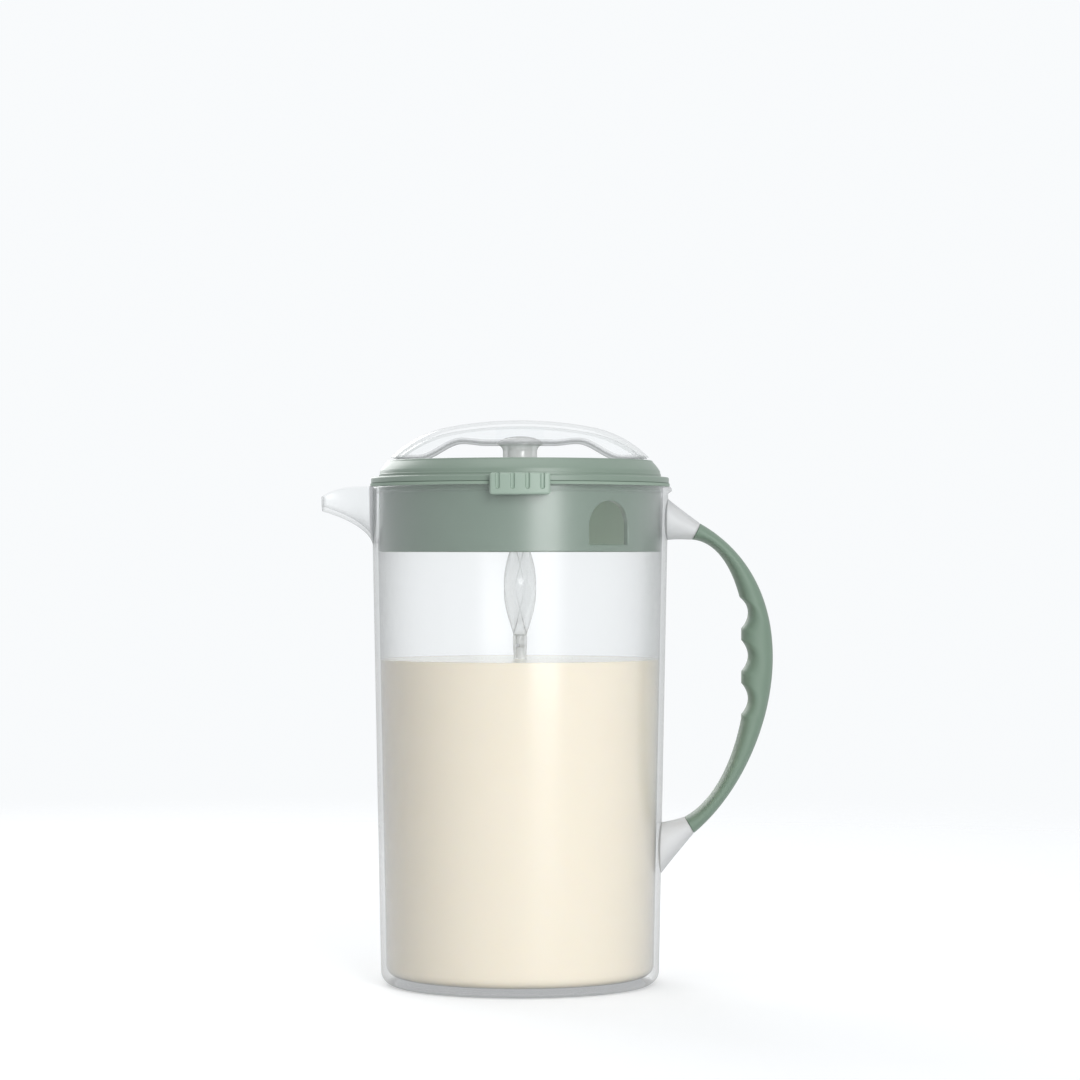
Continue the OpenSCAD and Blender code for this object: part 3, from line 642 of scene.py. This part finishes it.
def oval(outer, inner, width):
    """Ring between an outer and an inner point of the side view."""
    mid = [(a + b) / 2 for a, b in zip(outer, inner)]
    half = [(a - b) / 2 for a, b in zip(outer, inner)]
    ring = []
    for i in range(HANDLE_SIDES):
        a = 2 * math.pi * i / HANDLE_SIDES
        c, s = soft(math.cos(a)), soft(math.sin(a))
        ring.append((mid[0] + half[0] * c, -width / 2 * s, mid[1] + half[1] * c))
    return ring


def core_ring(u, gap):
    """Section of the frame's core inside the grip, grown by a gap."""
    back, finger = Vector(back_point(u)), Vector(finger_flat(u))
    mid, across = (back + finger) / 2, (back - finger).normalized()
    reach = CORE_T / 2 + gap
    return oval(mid + across * reach, mid - across * reach, CORE_W + 2 * gap)


def root_rings(outer_z, inner_z, back, finger):
    """Rings from the outside of the jug's wall to the end of the grip."""
    steps = 20
    flat = oval((0, outer_z), (0, inner_z), ROOT_W)
    wall = [(math.sqrt((jug_r(z) + 0.06) ** 2 - y * y), y, z) for _, y, z in flat]
    end = oval(back, finger, GRIP_W)
    outwards = math.copysign(ROOT_FILLET, outer_z - inner_z)
    rings = []
    for k in range(steps + 1):
        v = k / steps * 0.994
        ring = []
        for i, (a, b) in enumerate(zip(wall, end)):
            fillet = outwards * (1 - v) ** 4 * soft(math.cos(2 * math.pi * i / HANDLE_SIDES))
            ring.append((mix(a[0], b[0], v), ease(a[1], b[1], v), mix(a[2], b[2], v) + fillet))
        rings.append(ring)
    return rings


def make_handle_frame():
    upper = root_rings(ROOT_TOP[0], ROOT_TOP[1], back_point(0), finger_point(0))
    lower = root_rings(ROOT_LOW[1], ROOT_LOW[0], back_point(1), finger_point(1))
    core = [core_ring(k / 60, 0) for k in range(61)]
    rings = upper + core + list(reversed(lower))
    piece("handle_roots", mesh_from("handle_roots", *loft(rings)), ROOT_CLEAR, "jug",
          ["handle_frame"], sharp=40)


def make_grip():
    steps = 220
    outer = []
    for k in range(steps + 1):
        u = k / steps
        outer.append(oval(back_point(u), finger_point(u), GRIP_W))
    inner = [core_ring(k / 60, 0.05) for k in range(61)]
    rings = outer + list(reversed(inner))
    obj = piece("grip", mesh_from("grip", *loft(rings, cyclic=True)), GRIP_GREEN, "jug",
                ["handle_grip"], sharp=50)
    bevel = obj.modifiers.new("soft_ends", "BEVEL")
    bevel.width = 0.5 * MM
    bevel.segments = 3
    bevel.limit_method = "ANGLE"
    bevel.angle_limit = math.radians(60)


# ---- lid ----

def lid_outline():
    skirt_in = SKIRT_R - LID_WALL
    face = [(mix(SHOULDER_R, CROWN_R + CROWN_EDGE, i / 16),
             mix(FLANGE_Z1 + CROWN_FOOT_H, CROWN_Z - CROWN_EDGE, (i / 16) ** 0.7)) for i in range(2, 17)]
    return ([(skirt_in, SKIRT_Z[0] + 0.2), (skirt_in + 0.2, SKIRT_Z[0])]
            + arc((SKIRT_R - 0.5, SKIRT_Z[0] + 0.5), 0.5, -90, 0, 5)
            + [(SKIRT_R, SKIRT_Z[1])]
            + arc((FLANGE_R - 0.3, SKIRT_Z[1] + 0.3), 0.3, -90, 0, 3)
            + arc((FLANGE_R - 0.6, FLANGE_Z1 - 0.6), 0.6, 0, 90, 6)
            + arc((SHOULDER_R + 0.4, FLANGE_Z1 + 0.4), 0.4, 270, 180, 5)
            + arc((SHOULDER_R - 0.35, FLANGE_Z1 + CROWN_FOOT_H - 0.35), 0.35, 0, 60, 4)
            + face
            + arc((CROWN_R, CROWN_Z - CROWN_EDGE), CROWN_EDGE, 20, 90, 6)
            + arc((CROWN_BORE_R + CROWN_EDGE, CROWN_Z - CROWN_EDGE), CROWN_EDGE, 90, 180, 6)
            + arc((CROWN_BORE_R - 1, DECK_Z + 1), 1.0, 0, -90, 6)
            + [(GUIDE_HOLE_R, DECK_Z), (GUIDE_HOLE_R, DECK_Z - DECK_T),
               (CROWN_BORE_R + LID_WALL, DECK_Z - DECK_T), (CROWN_BORE_R + LID_WALL, CROWN_Z - LID_WALL),
               (CROWN_R - LID_WALL / 2, CROWN_Z - LID_WALL - 0.4), (skirt_in, SKIRT_Z[1] + LID_WALL)])


def window_outline(grow):
    """Arch of (sideways, height) with its sill at height 0, grown outwards all round."""
    half = WINDOW_W / 2 + grow
    spring = WINDOW_H - WINDOW_W / 2
    sill = [(mix(-half, half, i / 24), -grow) for i in range(24)]
    side = [(half, mix(-grow, spring, i / 8)) for i in range(8)]
    arch = arc((0, spring), half, 0, 180, 40)
    return sill + side + arch + [(-half, mix(spring, -grow, i / 8)) for i in range(1, 8)]


def window_tool():
    """Cutter for the pour window, flared so that the window's outer edge comes out rounded."""
    steps = 6
    stations = [(SKIRT_R - LID_WALL - 3, 0), (SKIRT_R - WINDOW_EDGE, 0)]
    for i in range(1, steps + 1):
        a = math.radians(90 * i / steps)
        stations.append((SKIRT_R - WINDOW_EDGE + WINDOW_EDGE * math.sin(a), WINDOW_EDGE * (1 - math.cos(a))))
    stations.append((SKIRT_R + 3, WINDOW_EDGE))
    turn = math.radians(WINDOW_ANGLE)
    rings = []
    for radius, grow in stations:
        ring = []
        for s, h in window_outline(grow):
            along = math.sqrt(radius * radius - s * s)
            ring.append((along * math.cos(turn) - s * math.sin(turn),
                         along * math.sin(turn) + s * math.cos(turn), WINDOW_SILL_Z + h))
        rings.append(ring)
    return loft(rings)


def front_block(r0, r1, half, z0, z1):
    """Curved block in front of the axis, between two radii and as wide as twice half."""
    rings = []
    for k in range(33):
        s = mix(-half, half, k / 32)
        rings.append([(s, -math.sqrt(r * r - s * s), z) for r, z in ((r0, z0), (r1, z0), (r1, z1), (r0, z1))])
    return loft(rings)


def make_lid():
    foot_r, foot_half, foot_z = TAB_FOOT
    pocket = front_block(foot_r - TAB_FIT, TAB_R[0] + 1, foot_half + TAB_FIT, foot_z - TAB_FIT, TAB_Z[1] + 1)
    mesh = combine(lathe(lid_outline(), 256, closed=True), [
        ("DIFFERENCE", window_tool()),
        ("DIFFERENCE", pocket),
    ])
    piece("lid", mesh, LID_GREEN, "lid", ["lid_shell"], sharp=38)
    # The lid's inner faces get the lighter green, painted light for light that shines through its walls.
    mesh.materials.append(LID_INSIDE_PAINTED_LIGHT)
    for face in mesh.polygons:
        corners = [mesh.vertices[v].co for v in face.vertices]
        if max(math.hypot(c.x, c.y) for c in corners) < (SKIRT_R - LID_WALL + 0.05) * MM \
                and max(c.z for c in corners) < (CROWN_Z - 1.9) * MM and face.normal.z < 0.9:
            face.material_index = 1


def tab_cut(s, z):
    """How far the tab's front lies back at a point, in its grooves and at its rounded edges."""
    depth = 0.0
    groove_low = TAB_Z[0] + 2 + TAB_GROOVE_W / 2
    for i in range(TAB_GROOVES):
        x = (i - (TAB_GROOVES - 1) / 2) * TAB_PITCH
        d = math.hypot(s - x, min(z - groove_low, 0)) / (TAB_GROOVE_W / 2)
        if d < 1:
            depth = max(depth, TAB_GROOVE_DEPTH * (1 - d ** 4))
    inside = min(TAB_W / 2 - abs(s), z - TAB_Z[0], TAB_Z[1] - z)
    if inside < TAB_EDGE:
        depth = max(depth, TAB_EDGE - math.sqrt(max(TAB_EDGE ** 2 - (TAB_EDGE - inside) ** 2, 0)))
    return depth


def tab_plate():
    """The tab as a curved plate, its front face a grid of points set back by tab_cut."""
    cols, rows = 168, 52
    z0, z1 = TAB_Z
    mid, reach = (z0 + z1) / 2, (z1 - z0) / 2 - TAB_CORNER
    points = []
    for front in (True, False):
        for j in range(rows + 1):
            z = mix(z0, z1, j / rows)
            over = max(abs(z - mid) - reach, 0)
            half = TAB_W / 2 - TAB_CORNER + math.sqrt(TAB_CORNER ** 2 - min(over, TAB_CORNER) ** 2)
            for i in range(cols + 1):
                s = mix(-half, half, i / cols)
                r = TAB_R[1] - tab_cut(s, z) if front else TAB_R[0]
                points.append((s, -math.sqrt(r * r - s * s), z))
    width = cols + 1
    back = width * (rows + 1)
    faces = []
    for j in range(rows):
        for i in range(cols):
            a = j * width + i
            faces.append((a, a + 1, a + 1 + width, a + width))
            faces.append((back + a, back + a + width, back + a + 1 + width, back + a + 1))
    rim = list(range(cols)) + [cols + j * width for j in range(rows)]
    rim += [rows * width + i for i in range(cols, 0, -1)] + [j * width for j in range(rows, 0, -1)]
    for a, b in zip(rim, rim[1:] + rim[:1]):
        faces.append((a, b, b + back, a + back))
    return points, faces


def make_tab():
    foot_r, foot_half, foot_z = TAB_FOOT
    mesh = combine(tab_plate(), [("UNION", front_block(foot_r, TAB_R[0] + 0.3, foot_half, foot_z, TAB_Z[1] - 0.1))])
    # The tab's lighter green is painted light on its front, which faces the lamps.
    piece("tab", mesh, TAB_GREEN_PAINTED_LIGHT, "lid", ["thumb_tab"], sharp=50)


# ---- plunger ----

dome_turn = math.asin(DOME_TURN_R / DOME_TOP_ARC)
dome_side_c = ((DOME_TOP_ARC - DOME_SIDE_ARC) * math.sin(dome_turn),
               (DOME_TOP_ARC - DOME_SIDE_ARC) * math.cos(dome_turn))


def dome_drop(r):
    """Drop of the domed outline below its top, at distance r from the axis."""
    if r < DOME_TURN_R:
        return DOME_TOP_ARC - math.sqrt(DOME_TOP_ARC ** 2 - r * r)
    return DOME_TOP_ARC - dome_side_c[1] - math.sqrt(DOME_SIDE_ARC ** 2 - (r - dome_side_c[0]) ** 2)


def dome(radius, drop):
    """Solid under the domed outline, cut off at a radius and lowered by drop."""
    steps = 72
    top = CROWN_Z + dome_drop(CROWN_R) + BAR_UP - drop
    low = CROWN_Z - 10
    outline = [(0, low), (radius, low)]
    outline += [(radius * (1 - i / steps), top - dome_drop(radius * (1 - i / steps))) for i in range(steps + 1)]
    return lathe(outline, 240)


def wave_half(reach):
    """Lower edge of the plunger's side view on the +X side, from the middle outwards."""
    steps = 32
    points = [(0, WAVE_HUB_H), (HUB_R, WAVE_HUB_H), (WAVE_DIP_X - 0.8, WAVE_HUB_H)]
    for i in range(1, steps + 1):
        t = i / steps
        points.append((mix(WAVE_DIP_X, WAVE_CREST_X, t), ease(WAVE_HUB_H, WAVE_CREST_H, t)))
    for i in range(1, steps + 1):
        t = i / steps
        points.append((mix(WAVE_CREST_X, WAVE_FOOT_X, t), ease(WAVE_CREST_H, 0, t)))
    return points + [(reach, 0)]


def beading(y):
    """Round bead along the wavy lower edge of a wall, centred at y."""
    half = wave_half(CROWN_R + 2)
    path = [(-x, h) for x, h in reversed(half[1:])] + half
    rings = []
    for k, (x, h) in enumerate(path):
        before, after = path[max(k - 1, 0)], path[min(k + 1, len(path) - 1)]
        run = Vector((after[0] - before[0], after[1] - before[1])).normalized()
        ring = []
        for i in range(BEADING_SIDES):
            a = 2 * math.pi * i / BEADING_SIDES
            out, up = BEADING * math.cos(a), BEADING * math.sin(a)
            ring.append((x - run.y * up, y + out, CROWN_Z + BAR_UP + BEADING + h + run.x * up))
        rings.append(ring)
    return loft(rings)


def on_beading(corners, bead_y):
    """Whether all corners of a face lie on the round bead."""
    path = wave_half(CROWN_R + 2)
    for c in corners:
        x, off = abs(c.x), abs(c.y) - bead_y
        near = [(a, b) for a, b in zip(path, path[1:]) if a[0] <= x <= b[0]]
        if not near:
            return False
        (x0, h0), (x1, h1) = near[0]
        run = math.hypot(x1 - x0, h1 - h0)
        rise = (c.z - CROWN_Z - BAR_UP - BEADING - mix(h0, h1, (x - x0) / (x1 - x0))) * (x1 - x0) / run
        if math.hypot(off, rise) > BEADING * 1.06:
            return False
    return True


def slab(outline, z0, y0, y1):
    """An outline of (x, height over z0) made into a slab from y0 to y1."""
    return loft([[(x, y, z0 + h) for x, h in outline] for y in (y0, y1)])


def hub_outline(hub_z):
    """Profile of the post with its flared neck and the hub's domed cap."""
    neck = [(HUB_R - (HUB_R - POST_R) * math.cos(a), hub_z - POST_NECK + POST_NECK * math.sin(a))
            for a in [math.pi / 2 * i / 12 for i in range(13)]]
    cap = [(HUB_R * math.cos(a), hub_z + HUB_DOME_H * math.sin(a))
           for a in [math.pi / 2 * i / 16 for i in range(1, 17)]]
    return [(0, POST_Z0), (POST_R, POST_Z0)] + neck + cap


def make_plunger():
    wave_z = CROWN_Z + BAR_UP
    hub_z = wave_z + WAVE_HUB_H
    top = dome_drop(CROWN_R) + 5
    right = wave_half(CROWN_R + 2)
    left = [(-x, h) for x, h in reversed(right[1:])]
    outline = right + [(CROWN_R + 2, top), (-CROWN_R - 2, top)] + left
    web = combine(dome(CROWN_R - 1, 1), [
        ("INTERSECT", block((-HUB_R, -WEB_T / 2, hub_z), (HUB_R, WEB_T / 2, hub_z + top)))])
    hollow = combine(dome(CROWN_R - BAR_WALL, BAR_WALL), [
        ("INTERSECT", block((-CROWN_R, -BAR_W / 2 + BAR_WALL, CROWN_Z - 5),
                            (CROWN_R, BAR_W / 2 - BAR_WALL, CROWN_Z + top + 10)))])
    bead_y = BAR_W / 2 - BEADING
    mesh = combine(slab(outline, wave_z + BEADING, -BAR_W / 2 + BEADING_PROUD, BAR_W / 2 - BEADING_PROUD), [
        ("DIFFERENCE", as_shape(hollow)),
        ("UNION", beading(-bead_y)),
        ("UNION", beading(bead_y)),
        ("INTERSECT", dome(CROWN_R, 0)),
        ("UNION", as_shape(web)),
        ("UNION", lathe(hub_outline(hub_z), 96)),
        ("DIFFERENCE", column(BUSH_HOLE_R, POST_Z0 - 1, BUSH_HOLE_Z1, 96)),
    ])
    piece("plunger_bar", mesh, PLUNGER_CLEAR, "plunger", ["plunger_handle"], sharp=40)
    mesh.materials.append(HUB_FROST)
    mesh.materials.append(BEADING_CLEAR)
    hub_top = (hub_z + HUB_DOME_H + 0.05) * MM
    for face in mesh.polygons:
        corners = [mesh.vertices[v].co for v in face.vertices]
        if max(math.hypot(c.x, c.y) for c in corners) < (HUB_R + 0.05) * MM and max(c.z for c in corners) < hub_top:
            face.material_index = 1
        elif on_beading([c / MM for c in corners], bead_y):
            face.material_index = 2


# ---- shaft, blade and stopper ----

def twist(z):
    """Angle of the shaft's twist at height z."""
    return math.radians((z - RIBBON_Z[0]) * 360 / TWIST_PITCH - 90)


def twisted(section, z0, z1, steps):
    """The outline section(z) of (x, y) carried along the shaft's twist from z0 to z1."""
    rings = []
    for k in range(steps + 1):
        z = mix(z0, z1, k / steps)
        c, s = math.cos(twist(z)), math.sin(twist(z))
        rings.append([(x * c - y * s, x * s + y * c, z) for x, y in section(z)])
    return loft(rings)


def ribbon_section(z):
    """Rounded oblong with a channel along each flat, drawn in at the lower end."""
    end = max(0.0, 1 - (z - RIBBON_Z[0]) / 3.0)
    wide = RIBBON_W / 2 * (1 - 0.42 * end * end)
    ring = []
    for i in range(96):
        a = 2 * math.pi * i / 96
        x = wide * math.cos(a)
        y = RIBBON_T / 2 * (1 - abs(math.cos(a)) ** 3.3) ** 0.3
        channel = CHANNEL_DEPTH * (1 - end) / (1 + math.exp((abs(x) - CHANNEL_HALF) * 7))
        ring.append((x, math.copysign(max(y - channel, 0), math.sin(a))))
    return ring


def rod_section(z):
    """Round rod with two strong and two weak ribs."""
    end = max(0.0, 1 - (RIBBON_Z[0] - 0.05 - z) / 0.5)
    ring = []
    for i in range(64):
        a = 2 * math.pi * i / 64
        strong = min(a % math.pi, math.pi - a % math.pi)
        weak = abs(a % math.pi - math.pi / 2)
        r = (ROD_VALLEY + (ROD_RIBS[0] - ROD_VALLEY) * math.exp(-(strong / RIB_SPREAD) ** 2)
             + (ROD_RIBS[1] - ROD_VALLEY) * math.exp(-(weak / RIB_SPREAD) ** 2)) * (1 - 0.12 * end * end)
        ring.append((r * math.cos(a), r * math.sin(a)))
    return ring


def cross_hole():
    """Cutter for the cross pin's hole, along the width of the twist."""
    c, s = math.cos(twist(PIN_Z)), math.sin(twist(PIN_Z))
    rings = []
    for along in (-5, 5):
        ring = []
        for i in range(24):
            a = 2 * math.pi * i / 24
            side, up = PIN_HOLE_R * math.cos(a), PIN_HOLE_R * math.sin(a)
            ring.append((along * c - side * s, along * s + side * c, PIN_Z + up))
        rings.append(ring)
    return loft(rings)


def make_shafts():
    head = ([(0, RIBBON_Z[1] - 0.15), (JOURNAL_R, RIBBON_Z[1] - 0.15), (JOURNAL_R, HEAD_Z[0]),
             (HEAD_R - 0.2, HEAD_Z[0]), (HEAD_R, HEAD_Z[0] + 0.2)]
            + arc((HEAD_R - 0.6, HEAD_Z[1] - 0.6), 0.6, 0, 90, 6) + [(0, HEAD_Z[1])])
    peg_top = RIBBON_Z[0] + 1
    peg = [(0, PEG_Z0), (PEG_R - CHAMFER, PEG_Z0), (PEG_R, PEG_Z0 + CHAMFER), (PEG_R, peg_top), (0, peg_top)]
    upper = combine(twisted(ribbon_section, *RIBBON_Z, 240), [
        ("UNION", lathe(head, 64)), ("UNION", lathe(peg, 48)), ("DIFFERENCE", cross_hole())])
    piece("upper_ribbon", upper, SHAFT_CLEAR, "shaft", ["upper_shaft"], sharp=45)

    bell_low, bell_high = BELL_Z
    rim_z = bell_low + BELL_RIM
    bell = [(0, bell_low), (BELL_R - CHAMFER, bell_low), (BELL_R, bell_low + CHAMFER), (BELL_R, rim_z)]
    bell += [(ease(BELL_R, ROD_RIBS[0] + 0.35, i / 20), mix(rim_z, bell_high, i / 20)) for i in range(1, 21)]
    bell += [(0, bell_high)]
    step_r, step_z = SPIGOT_STEP
    spigot = [(0, SPIGOT_Z0), (step_r - CHAMFER, SPIGOT_Z0), (step_r, SPIGOT_Z0 + CHAMFER), (step_r, step_z),
              (SPIGOT_R, step_z), (SPIGOT_R, rim_z), (0, rim_z)]
    lower = combine(twisted(rod_section, rim_z, RIBBON_Z[0] - 0.05, 260), [
        ("UNION", lathe(bell, 96)), ("UNION", lathe(spigot, 64)),
        ("DIFFERENCE", column(PEG_R + 0.05, PEG_Z0 - 0.5, RIBBON_Z[0] + 0.5, 48)),
        ("DIFFERENCE", cross_hole())])
    piece("spiral_rod", lower, ROD_CLEAR, "shaft", ["lower_shaft"], sharp=45)


def vane(turn):
    """One pitched vane from the hub into the ring, its two long edges rounded."""
    mid_z, bow, rings = sum(BLADE_Z) / 2, VANE_T / 2, []
    for k in range(17):
        t = k / 16
        r = mix(BLADE_HUB_R - 0.8, BLADE_R - BLADE_RING_T + 0.7, t)
        half = math.radians(VANE_SPAN / 2) * r
        lift = mix(*VANE_LIFT, t)
        flat = [(mix(bow - half, half - bow, i / 14), -bow) for i in range(15)]
        edge = arc((half - bow, 0), bow, -90, 90, 8)[1:-1]
        section = flat + edge + [(-x, -h) for x, h in flat + edge]
        ring = []
        for x, h in section:
            a = x / r + turn
            ring.append((r * math.cos(a), r * math.sin(a), mid_z + lift * x / half + h))
        rings.append(ring)
    return loft(rings)


def make_blade():
    ring = rounded_box(BLADE_R - BLADE_RING_T, BLADE_R, *BLADE_Z, 0.6)
    hub = rounded_box(SPIGOT_R + 0.05, BLADE_HUB_R, BLADE_Z[0], BLADE_HUB_Z1, 0.7)
    steps = [("UNION", lathe(hub, 96, closed=True))]
    steps += [("UNION", vane(2 * math.pi * i / VANES)) for i in range(VANES)]
    mesh = combine(lathe(ring, 192, closed=True), steps)
    piece("blade", mesh, BLADE_GREEN, "shaft", ["mixing_blade"], sharp=40)


def make_stopper():
    z0, z1 = STOPPER_Z
    bore_r, collar_r = STOPPER_R
    mid = (z0 + z1) / 2
    x, y = FINGER_RING_AT
    loop = rounded_box(*FINGER_RING_R, mid - FINGER_RING_T / 2, mid + FINGER_RING_T / 2, 0.9)
    mesh = combine(lathe(rounded_box(bore_r, collar_r, z0, z1, 0.6), 96, closed=True), [
        ("UNION", lathe(loop, 72, closed=True, at=(-x, y))),
        ("UNION", lathe(loop, 72, closed=True, at=(x, y))),
        ("DIFFERENCE", column(bore_r, z0 - 1, z1 + 1, 96)),
        ("DIFFERENCE", block((-STOPPER_SLIT / 2, 0, z0 - 1), (STOPPER_SLIT / 2, 12, z1 + 1))),
    ])
    piece("stopper", mesh, BLADE_GREEN, "stopper", ["stopper_clip"], sharp=40)


# ---- formula ----

def make_formula():
    floor_z = JUG_FLOOR + FORMULA_GAP
    floor_r = jug_r(JUG_FLOOR) - JUG_WALL - FORMULA_GAP
    top_r = cavity_r(FORMULA_TOP) - FORMULA_GAP
    outline = [(0, floor_z)]
    outline += arc((floor_r - FLOOR_ROUND, floor_z + FLOOR_ROUND), FLOOR_ROUND, -90, 0, 10)
    outline += [(top_r, FORMULA_TOP - FORMULA_EDGE), (top_r - FORMULA_EDGE, FORMULA_TOP)]
    outline += [(top_r * (1 - t), FORMULA_TOP) for t in (0.3, 0.6, 1.0)]
    mesh = mesh_from("formula_fill", *lathe(outline))
    piece("formula_fill", mesh, FORMULA, "jug", sharp=60)


# ---- stage ----

def seen_share(tree):
    """1 for rays that see the backdrop directly, in a reflection or through clear plastic."""
    path = add(tree, "ShaderNodeLightPath")
    seen = math_node(tree, "MAXIMUM", path.outputs["Is Camera Ray"], path.outputs["Is Glossy Ray"])
    return math_node(tree, "MAXIMUM", seen, path.outputs["Is Transmission Ray"])


def make_floor():
    material, tree = material_tree("floor")
    coords = add(tree, "ShaderNodeTexCoord").outputs["Object"]
    distance = add(tree, "ShaderNodeVectorMath", {"operation": "LENGTH"}, s0=coords).outputs["Value"]
    fade = step_up(tree, distance, 0.30, 1.1)
    paper = add(tree, "ShaderNodeBsdfPrincipled", None, Base_Color=(0.78, 0.795, 0.81, 1), Roughness=0.7,
                Specular_IOR_Level=0.2).outputs[0]
    lift = add(tree, "ShaderNodeEmission", None, Color=(0.965, 0.98, 1.0, 1),
               Strength=math_node(tree, "MULTIPLY", seen_share(tree), 0.27)).outputs[0]
    lit = add(tree, "ShaderNodeAddShader", None, s0=paper, s1=lift).outputs[0]
    gone = add(tree, "ShaderNodeBsdfTransparent").outputs[0]
    finish_tree(tree, add(tree, "ShaderNodeMixShader", None, Fac=fade, s1=lit, s2=gone).outputs[0])
    bpy.ops.mesh.primitive_circle_add(vertices=96, radius=1.4, fill_type="NGON", location=(0, 0, 0))
    floor = bpy.context.active_object
    floor.name = "floor"
    floor.data.materials.append(material)


def make_world():
    world = bpy.data.worlds.new("studio")
    bpy.context.scene.world = world
    world.use_nodes = True
    tree = world.node_tree
    tree.nodes.clear()
    light = add(tree, "ShaderNodeBackground", None, Color=(1.0, 1.0, 1.0, 1), Strength=0.48).outputs[0]
    view = add(tree, "ShaderNodeBackground", None, Color=(0.945, 0.962, 0.975, 1), Strength=1.0).outputs[0]
    mixed = add(tree, "ShaderNodeMixShader", None, Fac=seen_share(tree), s1=light, s2=view).outputs[0]
    add(tree, "ShaderNodeOutputWorld", None, Surface=mixed)


def make_lamp(name, place, target, size, power):
    data = bpy.data.lights.new(name, "AREA")
    data.shape = "RECTANGLE"
    data.size, data.size_y = size
    data.energy = power
    lamp = bpy.data.objects.new(name, data)
    lamp.location = place
    lamp.rotation_euler = (Vector(target) - Vector(place)).to_track_quat("-Z", "Y").to_euler()
    lamp.visible_camera = False
    bpy.context.scene.collection.objects.link(lamp)


# name, place, target, size and power, in metres and watts
LAMPS = (
    ("key", (0.60, -1.64, 0.75), (0, 0, 0.75), (0.72, 1.5), 19.5),
    ("rear", (-0.75, 1.6, 0.95), (0, 0, 0.12), (1.2, 1.2), 15.0),
    ("top", (0.0, -0.2, 1.9), (0, 0, 0), (1.4, 1.4), 7.0),
)
EYE = (0.0, -1.36, 0.1605)
FRAME_WIDTH = 0.405
FRAME_SHIFT = (0.0075, 0.0056)


def make_camera():
    data = bpy.data.cameras.new("camera")
    data.sensor_width = 36.0
    data.lens = data.sensor_width * -EYE[1] / FRAME_WIDTH
    data.shift_x, data.shift_y = [shift / FRAME_WIDTH for shift in FRAME_SHIFT]
    camera = bpy.data.objects.new("camera", data)
    camera.location = EYE
    camera.rotation_euler = (math.radians(90), 0, 0)
    bpy.context.scene.collection.objects.link(camera)
    bpy.context.scene.camera = camera


# ---- scene ----

def dress_cad_nodes():
    finishes = {
        "lid_seal": SEAL_SILICONE,
        "shaft_guide": LID_GREEN,
        "swivel_bush": HUB_FROST,
        "bayonet_pin": PIN_STEEL,
        "blade_cap": BLADE_GREEN,
    }
    for node, material in finishes.items():
        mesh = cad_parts[node].data
        mesh.materials.clear()
        mesh.materials.append(material)


make_camera()
make_world()
for lamp in LAMPS:
    make_lamp(*lamp)
make_floor()
dress_cad_nodes()
make_jug()
make_handle_frame()
make_grip()
make_lid()
make_tab()
make_plunger()
make_shafts()
make_blade()
make_stopper()
make_formula()

scene = bpy.context.scene
scene.view_settings.view_transform = "Standard"
scene.cycles.transparent_max_bounces = 32
